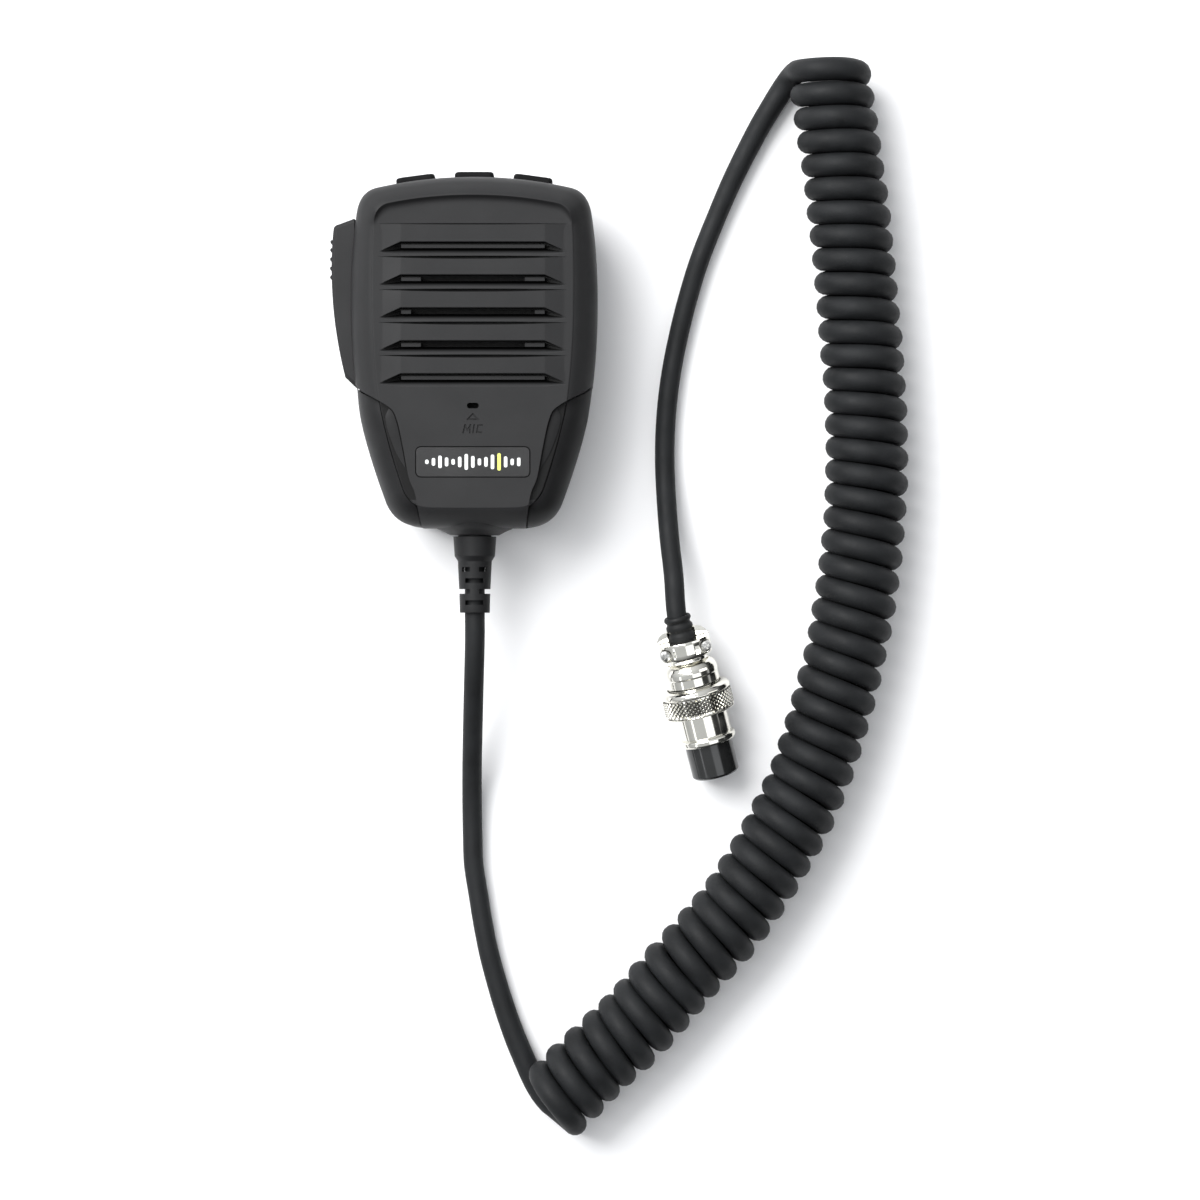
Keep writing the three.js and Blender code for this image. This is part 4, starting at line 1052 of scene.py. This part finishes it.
relief = lathe("strain_relief_sleeve", eased(RELIEF, 0.14), 96, exit_frame)
side_pair = [(1.1, 3.1), (-3.1, -1.1)]
middle = [(-2.3, 2.2)]
windows = [*relief_row(-58.6, side_pair, 0.7, 6), *relief_row(-61.4, middle, 0.9, 6)]
carve(relief, [*windows, *relief_row(-66.9, middle, 0.9, 6)])
SIDE_SLOT_Y = -64.1
carve(relief, [block((side * 3.8 - 2.7, SIDE_SLOT_Y - ROW_HALF, EXIT_Z - 6),
                     (side * 3.8 + 2.7, SIDE_SLOT_Y + ROW_HALF, EXIT_Z + 6)) for side in (-1, 1)])
smooth(relief, 36)
relief_pvc = Finish("relief_pvc", (0.0115, 0.0118, 0.0124), 0.5, Specular_IOR_Level=0.2)
relief_pvc.mottle(relief_pvc.noise(4, 3), 0.88, 1.12)
relief_pvc.rough(relief_pvc.noise(6, 3), 0.44, 0.56)
relief_pvc.relief(relief_pvc.noise(0.35, 3), 0.02)
fit(relief, relief_pvc, "mic", "sleeve", "strain_relief")

# ---- Plug: ribbed boot ------------------------------------------------------------------
# A short bellows of matte black rubber between the cord and the clamp, pushed in under the
# clamp's saddle. The whole plug lies tilted on the table, resting on its rim.
PLUG_TOP = Vector((52.1, -75.6, 12.3))
PLUG_TIP = Vector((61, -110.8, 6.1))
plug_way = (PLUG_TIP - PLUG_TOP).normalized()
plug_side = plug_way.cross(Vector((0, 0, 1))).normalized()
plug_place = Matrix((plug_side, plug_way, plug_side.cross(plug_way))).transposed().to_4x4()
plug_place.translation = PLUG_TOP * 0.001


def laid(piece):
    """Moves a piece from the plug's own axes, +Y towards the contacts, to where the plug lies."""
    piece.data.transform(plug_place)
    return piece


boot_line = [
    (2.65, -5.55), (3.2, -5.55), (3.45, -5.0), (3.45, -4.6), (3.05, -4.1), (2.95, -3.8), (3.05, -3.5),
    (3.42, -3.05), (3.42, -2.3), (3.05, -1.75), (2.95, -1.45), (3.05, -1.15), (3.38, -0.7), (3.38, 1.35),
    (2.65, 1.35),
]
boot = laid(lathe("ribbed_boot", eased(boot_line, 0.25), 64))
smooth(boot, 50)
boot_rubber = Finish("boot_rubber", (0.0115, 0.012, 0.0125), 0.58, Specular_IOR_Level=0.2)
boot_rubber.mottle(boot_rubber.noise(2.5, 3), 0.8, 1.2)
boot_rubber.rough(boot_rubber.noise(2, 3), 0.48, 0.62)
boot_rubber.relief(boot_rubber.noise(0.3, 3), 0.02)
fit(boot, boot_rubber, "mic", "sleeve", "plug_boot")

# ---- Plug: shell and cord clamp -----------------------------------------------------------
# Nickel-plated turned brass. The back end is a split clamp: a half-round block in one piece with
# the shell, and a loose saddle held to it by two cross-head screws sunk in round seats.
def turned_metal(name, colour, roughness):
    """Plated metal off a lathe: very fine rings round the plug's axis, faint cloudiness."""
    made = Finish(name, colour, roughness, metallic=1.0)
    down_axis = made.node("ShaderNodeVectorMath", operation="DOT_PRODUCT")
    down_axis.inputs[1].default_value = plug_way
    made.link(made.place, down_axis.inputs[0])
    rings = made.node("ShaderNodeTexNoise", noise_dimensions="1D", Scale=9000, Detail=3)
    made.link(down_axis.outputs["Value"], rings.inputs["W"])
    made.mottle(made.noise(6, 3), 0.96, 1.03)
    made.rough(made.noise(3, 3), roughness - 0.03, roughness + 0.05)
    made.relief(rings.outputs["Fac"], 0.0012)
    return made


nickel = turned_metal("nickel_plate", (0.8, 0.785, 0.72), 0.1)
CLAMP_R, CLAMP_BORE = 6.85, 3.6
SCREWS = [(-5.2, 3), (5.2, 3)]


def upright(x, y, z0, z1, r, sides=48):
    """A round post or hole along Z."""
    return prism(circle(x, y, r, sides), z0, z1)


def clamp_half(name, low, high, trim=None):
    """A barrel with two rounded shoulders, cut down to the part between two heights."""
    ring = [
        (CLAMP_BORE, -1.95), (4.5, -1.95), (5.6, -1.4), (6.4, -0.4), (6.8, 0.9), (CLAMP_R, 2.2),
        (CLAMP_R, 3.8), (6.7, 4.7), (6.2, 5.4), (5.4, 5.55), (CLAMP_BORE, 5.55),
    ]
    start, end = trim or (-3, 12)
    kept = block((-10, start, low), (10, end, high))
    return carve(lathe(name, eased(ring, 0.4, 5), 96), [kept], "INTERSECT")


SHELL = [
    (3.6, 5.2), (5.1, 5.2), (5.1, 6.1), (5.6, 6.35), (6.3, 7.0), (6.8, 7.8), (7.0, 8.6), (7.0, 9.7),
    (6.85, 9.95), (6.9, 12.15), (3.6, 12.15),
]
shell = lathe("plug_shell_body", eased(SHELL, 0.16), 128)
carve(shell, [clamp_half("lower_half", -10, -0.3)], "UNION")
carve(shell, [upright(x, y, -4.2, 9, 0.95) for x, y in SCREWS])
shell_bore = lathe("bore", [(0, 5), (3.6, 5), (3.6, 12.4), (0, 12.4)], 64)
carve(shell, [block((-1, 5.2, 3.7), (5.6, 5.85, 7)), shell_bore])
smooth(laid(shell), 34)
fit(shell, nickel, "mic", "nickel", "plug_shell")

saddle = clamp_half("clamp_saddle_half", 0.5, 10, (0.55, 5.0))
carve(saddle, [upright(x, y, -1, 9, 0.95) for x, y in SCREWS])
carve(saddle, [upright(x, y, 2.6, 9, 1.75) for x, y in SCREWS])
carve(saddle, [block((-3.5, 2.0, 3.3), (-2.4, 4.1, 9)), block((2.9, 2.0, 4.4), (3.3, 4.1, 9))])
softened(saddle, 0.12, 2, 50)
smooth(laid(saddle), 34)
fit(saddle, nickel, "mic", "nickel", "clamp_saddle")


def cross_screw(name, head_r, head, shank_r, tip):
    """A pan-head screw along Z, with head = (seat, top), a cross recess on top and thread below."""
    low, high = head
    thick = high - low
    line = [
        (0, high), (head_r * 0.55, high - 0.02 * thick), (head_r * 0.85, high - 0.14 * thick),
        (head_r * 0.97, high - 0.4 * thick), (head_r, low + 0.12 * thick), (head_r * 0.97, low),
        (shank_r, low),
    ]
    pitch = shank_r * 0.5
    for k in range(int((low - tip) / pitch) - 1):
        y = low - 0.3 - k * pitch
        line += [(shank_r * 0.84, y), (shank_r, y - pitch * 0.5)]
    line += [(shank_r * 0.7, tip + 0.2), (shank_r * 0.35, tip), (0, tip)]
    screw = lathe(name, line[::-1], 40, Matrix.Rotation(math.pi / 2, 4, "X"))
    arm, wide = head_r * 0.58, head_r * 0.13
    cross = [
        (arm, wide), (wide * 1.4, wide * 1.4), (wide, arm), (-wide, arm), (-wide * 1.4, wide * 1.4),
        (-arm, wide), (-arm, -wide), (-wide * 1.4, -wide * 1.4), (-wide, -arm), (wide, -arm),
        (wide * 1.4, -wide * 1.4), (arm, -wide),
    ]
    return carve(screw, [prism(cross, high - 0.55 * thick, high + 1)])


steel_plate = Finish("zinc_plate", (0.55, 0.55, 0.53), 0.28, metallic=1.0)
steel_plate.mottle(steel_plate.noise(0.9, 3), 0.85, 1.1)
steel_plate.rough(steel_plate.noise(0.5, 3), 0.22, 0.36)
steel_plate.relief(steel_plate.noise(0.2, 2), 0.004)
for (x, y), number, spin in zip(SCREWS, (1, 2), (0.3, 0.9)):
    screw = cross_screw(f"saddle_screw_{number}_body", 1.5, (2.8, 4.25), 0.75, -3.55)
    screw.data.transform(Matrix.Translation((x * 0.001, y * 0.001, 0)) @ Matrix.Rotation(spin, 4, "Z"))
    smooth(laid(screw), 40)
    fit(screw, steel_plate, "mic", "steel", f"saddle_screw_{number}")

# ---- Plug: sleeve, insert and contacts ------------------------------------------------------
# A smooth nickel-plated tube with a rolled lip, and in it a glossy black phenolic insert with a
# keyway and four gold-flashed socket contacts set back in round wells.
SLEEVE = [
    (6.25, 12.5), (6.6, 12.5), (6.6, 25.55), (6.52, 25.65), (6.52, 25.85), (7.1, 25.95), (7.33, 26.3),
    (7.33, 27.2), (7.1, 27.6), (6.25, 27.65),
]
sleeve = laid(lathe("plug_tube", eased(SLEEVE, 0.1, 3), 128))
smooth(sleeve, 34)
fit(sleeve, nickel, "mic", "nickel", "plug_sleeve")

CONTACT_ANGLES = [45, 135, 225, 315]
CONTACT_CIRCLE = 3.3


def contact_place(degrees):
    """Where a contact stands on the insert's circle."""
    a = math.radians(degrees)
    return Matrix.Translation((CONTACT_CIRCLE * math.cos(a), 0, CONTACT_CIRCLE * math.sin(a)))


insert_line = [(0, 14), (5.6, 14), (6.0, 14.4), (6.0, 35.9), (5.5, 36.45), (0, 36.45)]
insert = lathe("contact_insert", eased(insert_line, 0.15), 128)
WELL = [(0, 29), (1.35, 29), (1.35, 36.2), (1.6, 36.6), (1.6, 38), (0, 38)]
carve(insert, [lathe("well", WELL, 40, contact_place(a)) for a in CONTACT_ANGLES])
carve(insert, [block((-0.8, 29, -7), (0.8, 38, -5))])
smooth(laid(insert), 40)
phenolic = Finish("phenolic", (0.013, 0.0135, 0.0135), 0.12, Specular_IOR_Level=0.6)
phenolic.mottle(phenolic.noise(3, 3), 0.85, 1.15)
phenolic.rough(phenolic.noise(4, 3), 0.1, 0.18)
phenolic.relief(phenolic.noise(1.5, 2), 0.004)
fit(insert, phenolic, "mic", "insert", "plug_insert")

gold_flash = turned_metal("gold_flash", (0.72, 0.5, 0.2), 0.2)
CONTACT = [
    (0.7, 29.25), (1.1, 29.25), (1.1, 31.0), (0.98, 31.2), (0.98, 31.6), (1.1, 31.8), (1.1, 35.1),
    (0.95, 35.35), (0.78, 35.35), (0.7, 35.1),
]
for number, degrees in enumerate(CONTACT_ANGLES, 1):
    contact = laid(lathe(f"contact_{number}_tube", CONTACT, 32, contact_place(degrees)))
    smooth(contact, 30)
    fit(contact, gold_flash, "mic", "brass", f"contact_{number}")

# ---- Plug: coupling ring ---------------------------------------------------------------------
# The nickel-plated locking nut that slides and turns on the sleeve: a smooth bevelled shoulder,
# then a diamond knurl for the fingers. A thin steel washer rides in front of its inner rim.
KNURL_FROM, KNURL_TO = 14.75, 19.35
KNURL_R = 8.42
KNURL_ROUND = 42
KNURL_ROWS = 7
RING = [
    (6.95, 12.65), (7.6, 12.65), (8.3, 12.95), (8.75, 13.35), (8.95, 13.95), (8.98, 14.3), (8.9, 14.55),
    (KNURL_R, 14.7), (KNURL_R, 19.4), (8.85, 19.5), (8.8, 19.7), (8.6, 19.78), (8, 19.78), (8, 14),
    (6.95, 14),
]
ring = laid(lathe("coupling_ring_nut", eased(RING, 0.1, 3), 128))
smooth(ring, 34)
fit(ring, nickel, "ring", "nickel", "coupling_ring")

across_half = math.pi * KNURL_R / KNURL_ROUND
along_half = (KNURL_TO - KNURL_FROM) / (KNURL_ROWS + 1)
foot = [(-0.25, 0, -across_half), (-0.25, along_half, 0), (-0.25, 0, across_half), (-0.25, -along_half, 0)]
rise = [(0.0, y * 0.96, z * 0.96) for _, y, z in foot]
crown = [(0.5, y * 0.3, z * 0.3) for _, y, z in foot]
edges = ((0, 1), (1, 2), (2, 3), (3, 0))
sides = [(base + i, base + j, base + 4 + j, base + 4 + i) for base in (0, 4) for i, j in edges]
diamond = new_piece("diamond", [*foot, *rise, *crown], [(0, 3, 2, 1), (8, 9, 10, 11), *sides])
outwards(diamond)
height = diamond.data.attributes.new("height", "FLOAT", "POINT")
height.data.foreach_set("value", [1.0 if point.co.x > 0.0003 else 0.0 for point in diamond.data.vertices])
diamond_places, diamond_turns = [], []
for row in range(KNURL_ROWS):
    for k in range(KNURL_ROUND):
        a = (k + row % 2 / 2) * 2 * math.pi / KNURL_ROUND
        diamond_along = KNURL_FROM + along_half * (row + 1)
        diamond_places.append((KNURL_R * math.cos(a), diamond_along, KNURL_R * math.sin(a)))
        diamond_turns.append((0, -a, 0))
# The knurl's nickel has painted shade: its colour falls to almost black down each diamond's sides towards the
# foot, in the grooves between the diamonds.
knurl_nickel_painted_shade = turned_metal("knurl_nickel_painted_shade", (0.8, 0.785, 0.72), 0.16)
knurl_painted_shade = knurl_nickel_painted_shade.node("ShaderNodeAttribute", attribute_name="height").outputs["Fac"]
knurl_nickel_painted_shade.mottle(knurl_nickel_painted_shade.between(knurl_painted_shade, 0.0, 1.0, 0.0, 0.75), 0.02, 1.15)
knurl = laid(repeated("coupling_ring_knurl", diamond, diamond_places, knurl_nickel_painted_shade, diamond_turns))
fit(knurl, knurl_nickel_painted_shade, "ring", "nickel")

washer_line = [(6.85, 14.22), (7.75, 14.22), (7.75, 14.57), (6.85, 14.57)]
washer = laid(lathe("ring_washer_disc", eased(washer_line, 0.08), 96))
smooth(washer, 34)
fit(washer, steel_plate, "ring_carrier", "steel", "ring_washer")

# ---- Hanging stud ------------------------------------------------------------------------------
# A bright nickel-plated steel button on a short neck at the middle of the back, which drops into
# a slotted bracket. A screw from inside the case holds it.
z_frame = Matrix.Rotation(math.pi / 2, 4, "X")
CAP = [
    (0, 0.02), (4.6, 0.02), (6.4, 0.12), (7.4, 0.4), (7.86, 0.9), (7.86, 1.7), (7.5, 2.2), (6.9, 2.38),
    (2.3, 2.38), (0, 2.38),
]
cap = lathe("stud_cap", eased(CAP, 0.3), 128, z_frame)
carve(cap, [prism(circle(0, 0, 1.5), 1.2, 3)])
smooth(cap, 34)
NECK = [(0, 2.52), (3.3, 2.52), (3.9, 2.9), (3.75, 3.6), (3.75, 5.9), (3.98, 6.4), (3.98, 6.83), (0, 6.83)]
neck = lathe("stud_neck", eased(NECK, 0.2), 96,
             z_frame)
smooth(neck, 34)
stud_nickel = Finish("stud_nickel", (0.62, 0.61, 0.59), 0.13, metallic=1.0)
stud_nickel.mottle(stud_nickel.noise(5, 3), 0.94, 1.04)
stud_nickel.rough(stud_nickel.noise(2.5, 4), 0.1, 0.22)
stud_nickel.relief(stud_nickel.noise(0.3, 2, (1, 8, 1)), 0.002)
fit(cap, stud_nickel, "mic", "stud", "hang_cap")
fit(neck, stud_nickel, "mic", "stud", "hang_neck")

# ---- Case screws ----------------------------------------------------------------------------------
# Four zinc-plated cross-head screws deep in their holes in the rear cover, driven up into posts
# of the front cover.
case_screw = cross_screw("case_screw", 2.38, (-11.2, -9.5), 1.15, -22.4)
case_screw.data.transform(Matrix.Rotation(math.pi, 4, "X"))
screw_places = [(-x, y, 0) for x, y in SCREW_PLACES]
screw_turns = [(0, 0, a) for a in (0.2, 0.9, 1.3, 0.5)]
case_screws = repeated("case_screw_set", case_screw, screw_places, steel_plate, screw_turns)
smooth(case_screws, 40)
fit(case_screws, steel_plate, "mic", "steel", "case_screw_1", "case_screw_2", "case_screw_3", "case_screw_4")

# ---- Microphone felt --------------------------------------------------------------------------------
# A punched disc of black felt between the capsule and the hole in the face, which keeps dust out.
felt_disc = lathe("mic_felt", eased([(0, 29.0), (3.3, 29.0), (3.4, 29.5), (3.3, 30.2), (0, 30.2)], 0.15), 64,
                  Matrix.Translation((0, MIC_Y, 0)) @ z_frame)
smooth(felt_disc, 40)
felt = Finish("felt", (0.008, 0.008, 0.008), 0.95, Specular_IOR_Level=0.1)
felt.mottle(felt.noise(0.5, 5), 0.4, 1.6)
felt.relief(felt.noise(0.2, 4), 0.15)
fit(felt_disc, felt, "mic", "cloth")

# ---- Parts inside the case --------------------------------------------------------------------------
# Board, switches, speaker, capsule, springs and fixings, seen only through the openings; each
# keeps its CAD shape and gets the surface of its own stuff.
def dress(finish, *names):
    """Puts a finish on CAD nodes that keep their own shape."""
    for name in names:
        node = bpy.data.objects[name]
        node.data.materials.clear()
        node.data.materials.append(finish.material)


def cast(name, colour, roughness, grain_mm, height_mm, metallic=0.0, spread=0.1):
    """A surface with a mottled colour, an uneven gloss and a grain of the given size."""
    made = Finish(name, colour, roughness, metallic)
    made.mottle(made.noise(grain_mm * 6, 4), 1 - spread, 1 + spread)
    made.rough(made.noise(grain_mm * 4, 3), roughness - 0.06, roughness + 0.06)
    made.relief(made.noise(grain_mm, 3), height_mm)
    return made


dress(steel_plate, "hang_screw", "board_screw_left", "board_screw_right", "core_clamp_screw_left",
      "core_clamp_screw_right", "ptt_pin", "ptt_spring")
dress(cast("solder_mask", (0.02, 0.13, 0.05), 0.25, 0.6, 0.01), "circuit_board")
dress(cast("natural_nylon", (0.72, 0.68, 0.58), 0.45, 0.4, 0.01, spread=0.05),
      "board_socket", "wire_plug", "ptt_plunger",
      "key_plunger_left", "key_plunger_centre", "key_plunger_right")
dress(cast("switch_body", (0.02, 0.02, 0.02), 0.5, 0.3, 0.01),
      "ptt_switch", "key_switch_left", "key_switch_centre", "key_switch_right")
dress(cast("ferrite", (0.09, 0.09, 0.1), 0.6, 0.3, 0.03), "speaker_magnet")
dress(cast("speaker_steel", (0.45, 0.45, 0.44), 0.35, 0.5, 0.01, metallic=1.0), "speaker_frame")
dress(cast("cone_paper", (0.03, 0.027, 0.024), 0.9, 0.5, 0.06, spread=0.25), "speaker_cone")
dress(cast("gasket_rubber", (0.02, 0.02, 0.021), 0.7, 0.4, 0.02), "speaker_gasket", "mic_boot", "core_clamp")
dress(cast("acoustic_cloth", (0.003, 0.003, 0.003), 0.95, 0.25, 0.1, spread=0.4), "grille_cloth")
dress(cast("capsule_can", (0.5, 0.5, 0.48), 0.3, 0.4, 0.006, metallic=1.0), "mic_capsule")
dress(cast("wire_red", (0.35, 0.02, 0.02), 0.4, 0.5, 0.01), "speaker_wires")
dress(cast("core_sheath", (0.02, 0.02, 0.021), 0.5, 0.4, 0.02), "cable_core")
